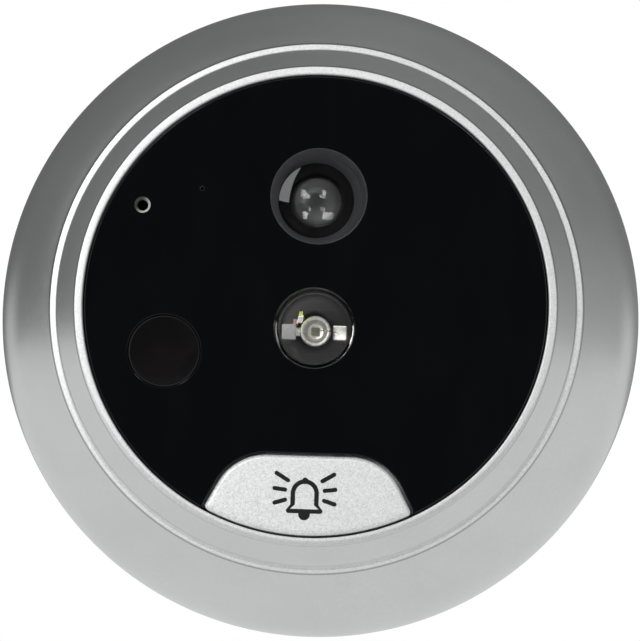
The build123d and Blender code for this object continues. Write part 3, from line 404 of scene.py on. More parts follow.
def panel_boundary():
    """The panel's rim, anticlockwise, cut away round the bell push."""
    button = button_loop()
    # left of travel is inward, so a negative offset widens the outline
    notch = offset_loop(button, loop_normals(button), -BUTTON_GAP)
    inside = [sqrt(x * x + z * z) < PANEL_R - 0.02 for x, z in notch]
    i = next(i for i in range(len(notch)) if inside[i] and not inside[i - 1])
    path = []  # from the right-hand crossing over the top to the left-hand crossing
    while inside[i % len(notch)]:
        path.append(notch[i % len(notch)])
        i += 1
    start = atan2(path[0][1], path[0][0])
    sweep = (atan2(path[-1][1], path[-1][0]) - start) % (2 * pi)
    angles = [start + sweep * k / 300 for k in range(301)]
    rim = [(PANEL_R * cos(a), PANEL_R * sin(a)) for a in angles]
    return clean(rim + path[::-1])


def circle_loop(centre, radius, count):
    """Clockwise, so that the left of travel points into the material round a hole."""
    angles = [-2 * pi * k / count for k in range(count)]
    return [(centre[0] + radius * cos(a), centre[1] + radius * sin(a)) for a in angles]


def build_panel():
    bm = bmesh.new()
    front_rings, back_rings = [], []

    def wall(points, profile, slots=None):
        normals = loop_normals(points)
        last_offset, last_depth = profile[-1]
        stations = [*profile, (last_offset + LIP, last_depth)]
        rings = [ring_of(bm, offset_loop(points, normals, o), d) for o, d in stations]
        for k in range(len(rings) - 1):
            bridge(bm, rings[k], rings[k + 1], slots[k] if slots else GLOSS)
        back_rings.append(rings[0])
        front_rings.append(rings[-1])

    edge = [(e, PANEL_FRONT - d) for e, d in quarter(PANEL_EDGE, 6)]
    wall(panel_boundary(), [(0.0, PANEL_BACK)] + edge)
    for centre, radius, segments, profile, slots in HOLES:
        wall(circle_loop(centre, radius, segments), profile, slots)
    fill_between(bm, front_rings, GLOSS)
    fill_between(bm, back_rings, PRINT)
    return finish_mesh("panel_lens", bm, "panel_black", "front_panel", sharp_angle=35)


# ---------------------------------------------------------------- bell push
BUTTON_FACE, BUTTON_SKIRT = 14.9, 12.3  # depths of the face and of the foot of its wall
BUTTON_EDGE = 0.45
BUTTON_MIDDLE = (0.0, -19.3)  # (x, z) the face's rings shrink towards
FLANGE_R = 23.3  # the underside stays within this radius


def within(points, limit):
    shares = [min(1.0, limit / sqrt(x * x + z * z)) for x, z in points]
    return [(x * share, z * share) for (x, z), share in zip(points, shares)]


def build_button():
    bm = bmesh.new()
    base = button_loop()
    inward = loop_normals(base)
    profile = [(0.0, BUTTON_SKIRT)] + [(e, BUTTON_FACE - d) for e, d in quarter(BUTTON_EDGE, 12)]
    rings = [ring_of(bm, offset_loop(base, inward, o), d) for o, d in profile]
    bridge_all(bm, rings)

    # the flat face in shrinking rings, so its shading stays even
    face = offset_loop(base, inward, BUTTON_EDGE)
    mx, mz = BUTTON_MIDDLE
    face_rings = [rings[-1]]
    for share in (0.9, 0.75, 0.6, 0.45, 0.3, 0.15):
        points = [(mx + (x - mx) * share, mz + (z - mz) * share) for x, z in face]
        face_rings.append(ring_of(bm, points, BUTTON_FACE))
    bridge_all(bm, face_rings)
    tip = bm.verts.new((mx * MM, -BUTTON_FACE * MM, mz * MM))
    last = face_rings[-1]
    for v, w in zip(last, last[1:] + last[:1]):
        bm.faces.new((v, w, tip))

    # flange and hollow underside, as (offset inward, depth)
    underside = [(0.3, BUTTON_SKIRT), (-0.75, BUTTON_SKIRT), (-0.75, 11.1), (1.3, 11.1), (1.3, 13.4)]
    under_rings = [rings[0]]
    for o, d in underside:
        under_rings.append(ring_of(bm, within(offset_loop(base, inward, o), FLANGE_R), d))
    bridge_all(bm, under_rings)
    fill_between(bm, [under_rings[-1]])

    # round posts behind the face: centre, radius, depth of the back end
    chamfer, root = 0.15, -13.45
    for centre, r, end in ((SWITCH, 1.6, 9.9), ((7.2, -19.4), 0.8, 9.4), ((-7.2, -19.4), 0.8, 9.4)):
        post = [(0, root), (r, root), (r, -end - chamfer), (r - chamfer, -end), (0, -end)]
        lathe_into(bm, post, centre, 48)
    return finish_mesh(
        "bell_push_cap", bm, "button_silver", "bell_button", body="bell_push", sharp_angle=35
    )


# ---------------------------------------------------------------- camera optics
HOOD_FRONT = 12.35
HOOD_SHIFT_RUN = 1.5  # length over which the hood's bore moves over to the lens
GLASS_R, GLASS_EDGE = 3.8, 10.8  # radius and depth of the front glass's domed face
HOLLOW_R, HOLLOW_EDGE, HOLLOW_APEX = 2.6, 10.0, 11.3


def build_hood():
    """Hood round the camera, its bore leaning towards the lens at the back."""
    outline = rounded([
        (3.86, -10.86, 0.05), (5.6, -10.86, 0.1), (5.6, -HOOD_FRONT, 0.1), (4.35, -HOOD_FRONT, 0.03),
    ])
    hood = lathe("lens_hood_ring", outline, "lens_hood", "hood_grey", CAMERA, 192)
    for v in hood.data.vertices:
        if sqrt((v.co.x / MM - CAMERA[0]) ** 2 + (v.co.z / MM - CAMERA[1]) ** 2) < 5.0:
            back = (v.co.y / MM + HOOD_FRONT) / HOOD_SHIFT_RUN
            v.co.x += LENS_SHIFT * MM * min(max(back, 0.0), 1.0)
    return hood


def build_front_glass():
    """Domed glass with a hollow back: slot 0 is glass, 1 the inked edge, 2 the hollow."""
    edge = [
        (HOLLOW_R, -HOLLOW_EDGE), (4.3, -HOLLOW_EDGE, 0.05), (4.3, -GLASS_EDGE, 0.08),
        (GLASS_R, -GLASS_EDGE),
    ]
    outline = (
        cap(GLASS_R, -GLASS_EDGE, -12.3, 28)
        + cap(HOLLOW_R, -HOLLOW_EDGE, -HOLLOW_APEX, 18)[::-1]
        + rounded(edge)[1:-1]
    )
    glass = lathe(
        "front_glass", outline, "front_lens", "optical_glass", LENS, 160, weighted=False
    )
    for face in glass.data.polygons:
        c = face.center / MM
        r = sqrt((c.x - LENS[0]) ** 2 + (c.z - LENS[1]) ** 2)
        if r > HOLLOW_R + 0.01 and -c.y < GLASS_EDGE + 0.001:
            face.material_index = 1
        elif r < HOLLOW_R + 0.01 and -c.y < HOLLOW_APEX + 0.01:
            face.material_index = 2
    return glass


def build_inner_glass():
    outline = cap(2.5, -9.9, -10.42, 18) + [(0.0, -9.22), (2.45, -9.22), (2.5, -9.27)]
    return lathe("inner_glass", outline, "inner_lens", "optical_glass", LENS, 128, weighted=False)


# ---------------------------------------------------------------- lamp
CUP_FOOT = 9.4  # depths
CUP_FLOOR = 9.74


def build_lamp_dome():
    base = [(0.0, -6.6), (4.6, -6.6, 0.1), (4.6, -7.6, 0.1), (4.0, -7.6, 0.08), (4.0, -13.0)]
    outline = (
        rounded(base)[:-1]
        + arc3((4.0, -13.0), (3.9, -13.32), (3.6, -13.5), 10)
        + cap(3.6, -13.5, -14.35, 24)[1:]
    )
    return lathe("lamp_dome", outline, "led_body", "clear_resin", LAMP, 192, weighted=False)


def lamp_slab(bm, x0, x1, half_height, back, front, bevel):
    """A box at the lamp with rounded corners and a rounded edge on its front face."""
    r = min(0.14, 0.3 * min(x1 - x0, 2 * half_height))
    h = half_height
    points = rounded([(x0, -h, r), (x1, -h, r), (x1, h, r), (x0, h, r)], 18)
    points = [(LAMP[0] + x, LAMP[1] + z) for x, z in points]
    normals = loop_normals(points)
    rings = [ring_of(bm, points, back)]
    for e, d in quarter(bevel, 4):
        rings.append(ring_of(bm, offset_loop(points, normals, e), front - d))
    bridge_all(bm, rings)
    fill_between(bm, [rings[0]])
    fill_between(bm, [rings[-1]])


def build_leads():
    """Reflector cup, the flat tabs either side of it and the two legs behind."""
    cup = rounded([
        (0.0, -CUP_FOOT), (1.25, -CUP_FOOT, 0.08), (1.32, -10.38, 0.12),
        (0.98, -10.38, 0.16), (0.66, -9.8, 0.12), (0.0, -CUP_FLOOR),
    ])
    bm = bmesh.new()
    lathe_into(bm, cup, LAMP, 96)
    # left x, right x, half height, back depth, front depth, bevel
    for slab in (
        (-2.8, -1.6, 0.65, 9.0, 9.45, 0.06),
        (-1.9, -0.95, 0.34, 9.05, 9.4, 0.04),
        (1.36, 2.55, 0.62, 9.0, 9.45, 0.06),
        (-1.9 - 0.25, -1.9 + 0.25, 0.25, 4.7, 9.05, 0.03),
        (1.9 - 0.25, 1.9 + 0.25, 0.25, 4.7, 9.05, 0.03),
    ):
        lamp_slab(bm, *slab)
    return finish_mesh("lamp_leads", bm, "plated_steel", "led_leads")


def build_lamp_chip():
    bm = bmesh.new()
    lamp_slab(bm, -0.36, 0.36, half_height=0.36, back=CUP_FLOOR, front=9.95, bevel=0.03)
    return finish_mesh("lamp_chip", bm, "diode_yellow", "led_chip")


def tube(bm, path, radius, segments=12):
    """Round bar swept along a path of (x, y, z)."""
    points = [Vector(p) for p in path]
    rings, across = [], None
    for i, p in enumerate(points):
        along = (points[min(i + 1, len(points) - 1)] - points[max(i - 1, 0)]).normalized()
        if across is None:
            across = along.orthogonal().normalized()
        across = (across - along * across.dot(along)).normalized()
        other = along.cross(across)
        angles = [2 * pi * k / segments for k in range(segments)]
        rings.append([
            bm.verts.new((p + (across * cos(a) + other * sin(a)) * radius) * MM) for a in angles
        ])
    bridge_all(bm, rings)
    bm.faces.new(rings[0])
    bm.faces.new(rings[-1])


def build_bond_wire():
    """Wire from the chip over the cup's lip to the right-hand tab."""
    start_x, run = 0.1, 1.75
    start_depth, end_depth, rise = 9.96, 9.44, 1.05
    start_z = 0.05
    path = []
    for i in range(29):
        t = i / 28
        depth = start_depth + (end_depth - start_depth) * t + rise * sin(pi * t) ** 0.85
        path.append((LAMP[0] + start_x + run * t, -depth, LAMP[1] + start_z * (1 - t)))
    bm = bmesh.new()
    tube(bm, path, radius=0.035)
    return finish_mesh("lamp_bond_wire", bm, "brass")


# ---------------------------------------------------------------- sensor window and gasket
def build_sensor_window():
    flange = [
        (3.0, -11.3), (4.5, -11.3, 0.06), (4.5, -12.3, 0.06), (3.68, -12.3, 0.03), (3.68, -13.7),
    ]
    outline = (
        rounded(flange)[:-1]
        + arc3((3.68, -13.74), (3.63, -13.86), (3.52, -13.92), 6)
        + cap(3.5, -13.925, -14.06, 18)[1:]
        + cap(3.0, -13.15, -13.4, 12)[::-1]
    )
    return lathe("sensor_window_cap", outline, "sensor_window", "smoked_window", SENSOR, 160)


def build_gasket():
    outline = rounded([(14.0, 0.0, 0.25), (25.0, 0.0, 0.25), (25.0, -1.6, 0.1), (14.0, -1.6, 0.1)])
    return lathe("door_gasket_ring", outline, "door_gasket", "foam_black")


# ---------------------------------------------------------------- flat cable
CABLE_WIDTH, CABLE_THICK, CONDUCTORS = 8.0, 0.3, 16
CONDUCTOR_PITCH = CABLE_WIDTH / CONDUCTORS
CABLE_EDGE = 0.12  # thinned margin along each side
RIPPLE_DEPTH = 0.045  # groove between two conductors
BEND_START, BEND_END = 19.0, 46.0  # y range where the cable leaves the plane x = 0


def cable_line():
    """Centre line as (y, x), from the CAD mesh: the middle of the band every half millimetre."""
    bins = {}
    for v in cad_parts["door_cable"].data.vertices:
        bins.setdefault(round(v.co.y / MM * 2) / 2, []).append(v.co.x / MM)
    return sorted((y, (min(xs) + max(xs)) / 2) for y, xs in bins.items())


def cable_section():
    """Closed section as (offset from the centre line, z), rippled on both sides."""
    cells = CONDUCTORS * 6
    side = []
    for k in range(cells + 1):
        z = -CABLE_WIDTH / 2 + CABLE_EDGE + (CABLE_WIDTH - 2 * CABLE_EDGE) * k / cells
        ripple = 0.5 + 0.5 * cos(2 * pi * ((z + CABLE_WIDTH / 2) / CONDUCTOR_PITCH))
        side.append((CABLE_THICK / 2 - RIPPLE_DEPTH * ripple, z))
    other_side = [(-x, z) for x, z in reversed(side)]
    return side + [(0.0, CABLE_WIDTH / 2)] + other_side + [(0.0, -CABLE_WIDTH / 2)]


def build_cable():
    lo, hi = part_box("door_cable")
    line = cable_line()

    def cable_x(y):
        for (ya, xa), (yb, xb) in zip(line, line[1:]):
            if ya <= y <= yb:
                return xa + (xb - xa) * (y - ya) / max(1e-9, yb - ya)
        return line[-1][1]

    def smooth_x(y):
        if not BEND_START < y < BEND_END:
            return 0.0
        spots = [min(max(y + d, line[0][0]), line[-1][0]) for d in (-1.2, -0.6, 0.0, 0.6, 1.2)]
        return sum(cable_x(spot) for spot in spots) / len(spots)

    section = cable_section()
    stations = [lo.y / MM + (hi.y - lo.y) / MM * k / 150 for k in range(151)]
    middle = [smooth_x(y) for y in stations]
    bm = bmesh.new()
    rings = []
    for k, y in enumerate(stations):
        a, b = max(0, k - 1), min(len(stations) - 1, k + 1)
        slope = (middle[b] - middle[a]) / (stations[b] - stations[a])
        nx, ny = 1 / sqrt(1 + slope**2), -slope / sqrt(1 + slope**2)
        rings.append([
            bm.verts.new(((middle[k] + u * nx) * MM, (y + u * ny) * MM, z * MM))
            for u, z in section
        ])
    bridge_all(bm, rings)
    bm.faces.new(rings[0])
    bm.faces.new(rings[-1])
    return finish_mesh("flat_cable", bm, "cable_white", "door_cable", sharp_angle=50)


bezel = build_bezel()
bosses = build_bosses()
panel = build_panel()
button = build_button()
hood = build_hood()
front_glass = build_front_glass()
inner_glass = build_inner_glass()
lamp_dome = build_lamp_dome()
leads = build_leads()
lamp_chip = build_lamp_chip()
bond_wire = build_bond_wire()
sensor_window = build_sensor_window()
gasket = build_gasket()
cable = build_cable()


# ---------------------------------------------------------------- shader helpers
class Graph:
    """A small helper round one node tree."""

    def __init__(self, tree, main="Principled BSDF"):
        self.nodes = tree.nodes
        self.links = tree.links
        self.main = tree.nodes[main]

    def node(self, kind, **settings):
        made = self.nodes.new(kind)
        for key, value in settings.items():
            setattr(made, key, value)
        return made

    def put(self, target, value):
        """Links a socket, or sets a plain value."""
        if isinstance(value, bpy.types.NodeSocket):
            self.links.new(value, target)
        else:
            target.default_value = value

    def set(self, **values):
        """Fills inputs of the main shader; underscores stand for spaces in their names."""
        for key, value in values.items():
            self.put(self.main.inputs[key.replace("_", " ")], value)

    def coordinates(self, kind="Object"):
        return self.node("ShaderNodeTexCoord").outputs[kind]

    def math(self, op, a, b=0.0):
        made = self.node("ShaderNodeMath", operation=op)
        self.put(made.inputs[0], a)
        self.put(made.inputs[1], b)
        return made.outputs[0]

    def plus(self, a, b):
        return self.math("ADD", a, b)

    def minus(self, a, b):
        return self.math("SUBTRACT", a, b)

    def times(self, a, b):
        return self.math("MULTIPLY", a, b)

    def largest(self, a, b):
        return self.math("MAXIMUM", a, b)

    def less(self, mask, by):
        """Factor that falls from 1 to 1 - by as mask rises to 1."""
        return self.minus(1.0, self.times(mask, by))

    def mm(self, metres):
        return self.times(metres, 1000.0)

    def vmath(self, op, a, b=(0, 0, 0), scale=None):
        made = self.node("ShaderNodeVectorMath", operation=op)
        self.put(made.inputs[0], a)
        self.put(made.inputs[1], b)
        if scale is not None:
            self.put(made.inputs["Scale"], scale)
        return made.outputs["Value" if op in ("DOT_PRODUCT", "LENGTH") else "Vector"]

    def scaled(self, vector, factor):
        return self.vmath("SCALE", vector, scale=factor)

    def stretch(self, vector, factors):
        return self.vmath("MULTIPLY", vector, factors)

    def ramp(self, value, span, to=(0.0, 1.0), smooth=True):
        """Maps span to the range to, held at both ends."""
        kind = "SMOOTHSTEP" if smooth else "LINEAR"
        made = self.node("ShaderNodeMapRange", interpolation_type=kind, clamp=True)
        self.put(made.inputs["Value"], value)
        for key, end in zip(("From Min", "From Max", "To Min", "To Max"), (*span, *to)):
            self.put(made.inputs[key], end)
        return made.outputs["Result"]

    def band(self, value, rise, fall):
        """1 between rise and fall, 0 outside them."""
        return self.times(self.ramp(value, rise), self.ramp(value, fall, to=(1.0, 0.0)))

    def mix(self, factor, a, b, kind="RGBA"):
        made = self.node("ShaderNodeMix", data_type=kind)
        for key, value in (("Factor", factor), ("A", a), ("B", b)):
            self.put(made.inputs[key], value)
        return made.outputs["Result"]

    def mix_shaders(self, factor, a, b):
        made = self.node("ShaderNodeMixShader")
        for i, value in enumerate((factor, a, b)):
            self.put(made.inputs[i], value)
        return made.outputs[0]

    def glow(self, strength):
        made = self.node("ShaderNodeEmission")
        made.inputs["Color"].default_value = (1, 1, 1, 1)
        self.put(made.inputs["Strength"], strength)
        return made.outputs[0]

    def noise(self, vector, size_mm, detail=3.0, rough=0.55, distortion=0.0):
        made = self.node("ShaderNodeTexNoise")
        self.put(made.inputs["Vector"], vector)
        made.inputs["Scale"].default_value = 1.0 / (size_mm * MM)
        made.inputs["Detail"].default_value = detail
        made.inputs["Roughness"].default_value = rough
        made.inputs["Distortion"].default_value = distortion
        return made.outputs["Fac"]

    def cells(self, vector, size_mm):
        made = self.node("ShaderNodeTexVoronoi", feature="F1")
        self.put(made.inputs["Vector"], vector)
        made.inputs["Scale"].default_value = 1.0 / (size_mm * MM)
        return made.outputs

    def split(self, vector):
        made = self.node("ShaderNodeSeparateXYZ")
        self.put(made.inputs[0], vector)
        return made.outputs

    def bump(self, height, distance_mm, strength, normal=None):
        made = self.node("ShaderNodeBump")
        self.put(made.inputs["Height"], height)
        made.inputs["Distance"].default_value = distance_mm * MM
        made.inputs["Strength"].default_value = strength
        if normal is not None:
            self.put(made.inputs["Normal"], normal)
        return made.outputs["Normal"]


materials = {}


def new_material(name):
    """A material's graph and its object coordinates, in metres."""
    material = bpy.data.materials.new(name)
    material.use_nodes = True
    materials[name] = material
    g = Graph(material.node_tree)
    return g, g.coordinates()


def rgba(r, g, b):
    return (r, g, b, 1.0)


def axis_radius(g, where, centre):
    """Distance in millimetres from the axis through centre (x, z), parallel to Y."""
    x, _, z = g.split(where)
    dx = g.minus(g.mm(x), centre[0])
    dz = g.minus(g.mm(z), centre[1])
    return g.math("SQRT", g.plus(g.times(dx, dx), g.times(dz, dz)))


MIDDLE = (0.3, 0.7)  # the part of the noise range most ramps stretch


# ---------------------------------------------------------------- silver paint
def land_coat_and_painted_shade(g, where, colour, roughness, metallic):
    """Brighter, coarser coat on the bezel's two lands, with painted shade on each land off its crest
    and in the grooves beside them.

    The rise and fall spans are radii.
    """
    radius = axis_radius(g, where, (0.0, 0.0))
    # painted shade: towards the bottom of the face the lands' bright crests narrow, and the inner
    # grooves' painted shade fades
    low = g.ramp(g.mm(g.split(where)[2]), span=(-3.0, -20.0))

    def moved(edge, by):
        return g.plus(edge, g.times(low, by))

    outer = g.band(radius, rise=(26.50, 26.60), fall=(27.02, 27.12))
    inner = g.band(radius, rise=(23.60, 23.66), fall=(24.38, 24.48))
    # painted highlight: the crests keep full brightness and narrow towards the bottom
    outer_span = (moved(26.50, by=0.22), moved(26.60, by=0.30))
    outer_crest = g.times(outer, g.ramp(radius, span=outer_span))
    inner_span = (moved(24.38, by=-0.50), moved(24.48, by=-0.34))
    inner_crest = g.times(inner, g.ramp(radius, span=inner_span, to=(1.0, 0.0)))
    crest = g.largest(inner_crest, outer_crest)
    land = g.largest(inner, outer)

    # painted shade: darker bands in the grooves beside the lands
    inner_groove_shade = g.largest(
        g.band(radius, rise=(26.33, 26.40), fall=(26.46, 26.53)),
        g.band(radius, rise=(24.44, 24.51), fall=(24.57, 24.64)),
    )
    inner_groove_shade = g.times(inner_groove_shade, g.less(low, by=0.8))
    outer_groove_shade = g.band(radius, rise=(27.10, 27.18), fall=(27.24, 27.32))
    groove_shade = g.largest(outer_groove_shade, inner_groove_shade)
    colour = g.scaled(colour, g.less(groove_shade, by=0.34))

    grain = g.split(g.cells(where, size_mm=0.1)["Color"])[1]
    grain = g.ramp(grain, span=(0.0, 1.0), to=(0.86, 1.12), smooth=False)
    # painted shade on each land away from its crests
    off_crest_shade = g.less(g.minus(land, crest), by=0.25)
    bright = g.scaled((0.78, 0.785, 0.785), g.times(grain, off_crest_shade))
    return (
        g.mix(land, colour, bright),
        g.plus(roughness, g.times(land, 0.22)),
        g.ramp(land, span=(0.0, 1.0), to=(metallic, 0.35), smooth=False),
    )


def silver(name, colour, roughness, metallic, flake_mm, lean, sparkle, lands=False):
    """Metallic paint: each flake leans its own way and has its own tone."""
    g, where = new_material(name)
    flakes = g.cells(where, flake_mm)["Color"]
    leaning = g.scaled(g.vmath("SUBTRACT", flakes, (0.5, 0.5, 0.5)), lean)
    flat = g.node("ShaderNodeNewGeometry").outputs["Normal"]
    normal = g.vmath("NORMALIZE", g.vmath("ADD", flat, leaning))

    cloud = g.noise(where, size_mm=9.0)
    flake_tone = g.ramp(
        g.split(flakes)[0], span=(0.0, 1.0), to=(1.0 - sparkle, 1.0 + sparkle), smooth=False
    )
    value = g.times(flake_tone, g.ramp(cloud, MIDDLE, to=(0.975, 1.02)))
    colour = g.scaled(colour, value)
    if lands:
        colour, roughness, metallic = land_coat_and_painted_shade(g, where, colour, roughness, metallic)
    peel = g.noise(where, size_mm=1.6, detail=2.0)
    speck = g.noise(where, size_mm=0.5, detail=2.0)
    g.set(
        Base_Color=colour,
        Metallic=metallic,
        Roughness=g.plus(roughness, g.ramp(speck, MIDDLE, to=(-0.01, 0.01))),
        Normal=g.bump(peel, distance_mm=0.0010, strength=0.4, normal=normal),
        Coat_Weight=0.12,
        Coat_Roughness=0.22,
        Coat_Normal=g.bump(peel, distance_mm=0.0008, strength=0.4),
    )


silver(
    "silver_shell", (0.70, 0.71, 0.71), roughness=0.25, metallic=0.98,
    flake_mm=0.07, lean=0.010, sparkle=0.03, lands=True,
)
silver(
    "silver_push", (0.80, 0.81, 0.805), roughness=0.5, metallic=0.35,
    flake_mm=0.13, lean=0.28, sparkle=0.19,
)

# ---------------------------------------------------------------- plastics and metals
# name: colour, roughness, grain size, grain depth, colour variation, specular, coat
PLASTICS = {
    "turned_cone": ((0.062, 0.063, 0.067), 0.42, 0.12, 0.004, 0.1, 0.7, 0.0),
    "panel_back_print": ((0.006, 0.006, 0.007), 0.5, 0.3, 0.002, 0.2, 0.5, 0.0),
    "indicator_pipe": ((0.085, 0.062, 0.066), 0.3, 0.05, 0.002, 0.15, 0.5, 0.0),
    "lens_edge_ink": ((0.0035, 0.0035, 0.004), 0.6, 0.1, 0.002, 0.2, 0.2, 0.0),
    "lamp_die": ((0.50, 0.49, 0.43), 0.3, 0.05, 0.003, 0.2, 0.8, 0.0),
    "moulded_black": ((0.022, 0.022, 0.024), 0.52, 0.22, 0.018, 0.15, 0.5, 0.0),
    "barrel_black": ((0.008, 0.008, 0.009), 0.5, 0.15, 0.004, 0.2, 0.5, 0.0),
    "symbol_ink": ((0.006, 0.006, 0.007), 0.5, 0.1, 0.003, 0.15, 0.25, 0.0),
    "soft_rubber": ((0.018, 0.018, 0.018), 0.78, 0.14, 0.01, 0.2, 0.35, 0.0),
    "tape_film": ((0.02, 0.02, 0.022), 0.6, 0.3, 0.004, 0.15, 0.5, 0.0),
    "stiffener_film": ((0.05, 0.17, 0.55), 0.32, 0.3, 0.004, 0.08, 0.5, 0.2),
    "moulded_epoxy": ((0.03, 0.03, 0.033), 0.55, 0.08, 0.005, 0.12, 0.5, 0.0),
    "phosphor_gel": ((0.80, 0.40, 0.30), 0.3, 0.08, 0.002, 0.1, 0.5, 0.0),
}
# name: colour, roughness, size of the tool marks, stretch of the marks, colour variation,
# depth of the marks
METALS = {
    "bond_gold": ((0.95, 0.72, 0.36), 0.18, 0.25, None, 0.06, 0.003),
    "nickel_steel": ((0.66, 0.65, 0.63), 0.28, 0.2, (1, 6, 1), 0.06, 0.003),
    "spring_steel": ((0.62, 0.62, 0.6), 0.3, 0.12, None, 0.06, 0.003),
    "turned_brass": ((0.83, 0.63, 0.32), 0.24, 0.5, (0.15, 9.0, 0.15), 0.05, 0.004),
}


def plastic(name, colour, roughness, grain_mm, grain_depth, vary, specular, coat=0.0):
    """Moulded plastic: fine grain, slow colour drift, patches of polish."""
    g, where = new_material(name)
    fine = g.noise(where, grain_mm, detail=4.0, rough=0.6)
    slow = g.noise(where, size_mm=7.0, detail=2.0)
    drift = g.ramp(slow, MIDDLE, to=(1.0 - vary, 1.0 + vary))
    grain = g.ramp(fine, MIDDLE, to=(1.0 - vary * 0.6, 1.0 + vary * 0.6))
    base = g.scaled(colour, g.times(drift, grain))
    g.set(
        Base_Color=base,
        Roughness=g.plus(roughness, g.ramp(slow, span=(0.25, 0.75), to=(-0.06, 0.06))),
        Specular_IOR_Level=specular,
        Coat_Weight=coat,
        Normal=g.bump(fine, grain_depth, strength=0.8),
    )
    return g, base


def metal(name, colour, roughness, mark_mm, stretch, vary, mark_depth):
    """Plated or turned metal with faint tool marks."""
    g, where = new_material(name)
    slow = g.noise(where, size_mm=3.0)
    marks_at = g.stretch(where, stretch) if stretch else where
    marks = g.noise(marks_at, mark_mm, detail=4.0, rough=0.65)
    g.set(
        Metallic=1.0,
        Base_Color=g.scaled(colour, g.ramp(slow, MIDDLE, to=(1 - vary, 1 + vary))),
        Roughness=g.plus(roughness, g.ramp(marks, MIDDLE, to=(-0.07, 0.09))),
        Normal=g.bump(marks, mark_depth, strength=0.7),
    )


def frosted_port_painted_light():
    """Wall of the microphone hole, with painted light: brighter towards its lower right, in painted
    shade towards its upper left.
    """
    g, base = plastic(
        "frosted_port_painted_light", (0.50, 0.49, 0.44), roughness=0.32,
        grain_mm=0.1, grain_depth=0.004, vary=0.06, specular=0.6,
    )
    x, _, z = g.split(g.coordinates())
    # painted light across the hole: lit towards the lower right, shaded towards the upper left
    along = g.minus(
        g.times(g.minus(g.mm(x), MICROPHONE[0]), 0.84),
        g.times(g.minus(g.mm(z), MICROPHONE[1]), 0.54),
    )
    g.set(Base_Color=g.scaled(base, g.ramp(along, span=(-0.5, 0.6), to=(0.12, 1.6))))


for name, row in PLASTICS.items():
    plastic(name, *row)
for name, row in METALS.items():
    metal(name, *row)
frosted_port_painted_light()


# ---------------------------------------------------------------- panel and window
def panel_gloss():
    """Glossy black, wiped but not spotless."""
    g, where = new_material("panel_gloss")
    smear_at = g.stretch(where, (1.0, 1.0, 0.35))
    smear = g.noise(smear_at, size_mm=5.0, detail=4.0, rough=0.6, distortion=0.6)
    dust = g.cells(where, size_mm=0.9)
    speck = g.ramp(dust["Distance"], span=(0.0, 0.035), to=(1.0, 0.0))
    keep = g.ramp(g.split(dust["Color"])[0], span=(0.86, 0.9))
    black = g.mix(
        g.ramp(smear, MIDDLE), rgba(0.0028, 0.0033, 0.0045), rgba(0.0041, 0.0045, 0.0058)
    )
    dust_amount = g.times(g.times(speck, keep), 0.25)
    g.set(
        Base_Color=g.mix(dust_amount, black, rgba(0.05, 0.05, 0.055)),
        Roughness=g.ramp(smear, span=(0.35, 0.8), to=(0.035, 0.075)),
        IOR=1.49,
        Normal=g.bump(g.noise(where, size_mm=14.0, detail=1.0), distance_mm=0.004, strength=0.4),
    )


def smoked_dome():
    """Sensor window: dark dye that lets a little light through."""
    g, where = new_material("smoked_dome")
    dye = g.noise(where, size_mm=2.2, detail=3.0, rough=0.6, distortion=0.4)
    dark, darker = rgba(0.0165, 0.0140, 0.0148), rgba(0.0095, 0.0098, 0.0108)
    g.set(
        Base_Color=g.mix(g.ramp(dye, MIDDLE), dark, darker),
        Transmission_Weight=0.12,
        IOR=1.5,
        Roughness=g.ramp(dye, span=(0.3, 0.8), to=(0.05, 0.13)),
        Normal=g.bump(g.noise(where, size_mm=0.9, detail=2.0), distance_mm=0.003, strength=0.5),
    )


# ---------------------------------------------------------------- glass
def glassy(name, colour, ior, roughness=0.0, swirl=0.0, film=0.0):
    """Clear material; swirl is a bump depth, film a coating thickness in nanometres."""
    g, where = new_material(name)
    haze = g.noise(where, size_mm=1.2)
    g.set(
        Transmission_Weight=1.0,
        IOR=ior,
        Base_Color=g.mix(
            g.ramp(haze, MIDDLE), rgba(*[c * 0.985 for c in colour]), rgba(*colour)
        ),
        Roughness=g.ramp(haze, span=(0.35, 0.75), to=(roughness, roughness + 0.015)),
    )
    if swirl:
        g.set(Normal=g.bump(g.noise(where, size_mm=1.8, detail=1.0), swirl, strength=0.5))
    if film:
        g.set(Thin_Film_Thickness=film, Thin_Film_IOR=1.38)
    return g


def coated_glass():
    """Front glass with a painted reflection: it glows where it would mirror a tall studio card off
    to its left.
    """
    g = glassy("coated_glass", (0.94, 0.95, 0.95), ior=1.46)
    rx, ry, rz = g.split(g.coordinates("Reflection"))
    # painted reflection: an emission masked by the reflection direction, with no card in the scene
    side = g.plus(rx, g.plus(g.times(ry, -0.641), g.times(rz, -0.124)))
    painted_card_reflection = g.ramp(side, span=(-0.595, -0.565), to=(1.0, 0.0))
    height = g.minus(rz, g.times(ry, 0.23))
    painted_card_reflection = g.times(painted_card_reflection, g.ramp(height, span=(0.128, 0.152)))
    g.set(
        Specular_IOR_Level=0.2,
        Emission_Color=(0.97, 0.98, 1.0, 1.0),
        Emission_Strength=g.times(painted_card_reflection, 0.16),
    )


panel_gloss()
smoked_dome()
coated_glass()
glassy("coated_glass_back", (0.94, 0.95, 0.95), ior=1.46)
# painted reflection: the inner lens's grey, part-diffuse share stands in for the grey reflections of
# its surfaces
inner = glassy("inner_glass_painted_grey_reflection", (0.62, 0.62, 0.61), ior=1.6, roughness=0.03)
inner.set(Transmission_Weight=0.88)
resin = glassy("clear_resin", (0.985, 0.985, 0.975), ior=1.53, swirl=0.006)
resin.set(Specular_IOR_Level=0.25)
glassy("coated_filter", (0.55, 0.72, 0.78), ior=1.52, film=320.0)


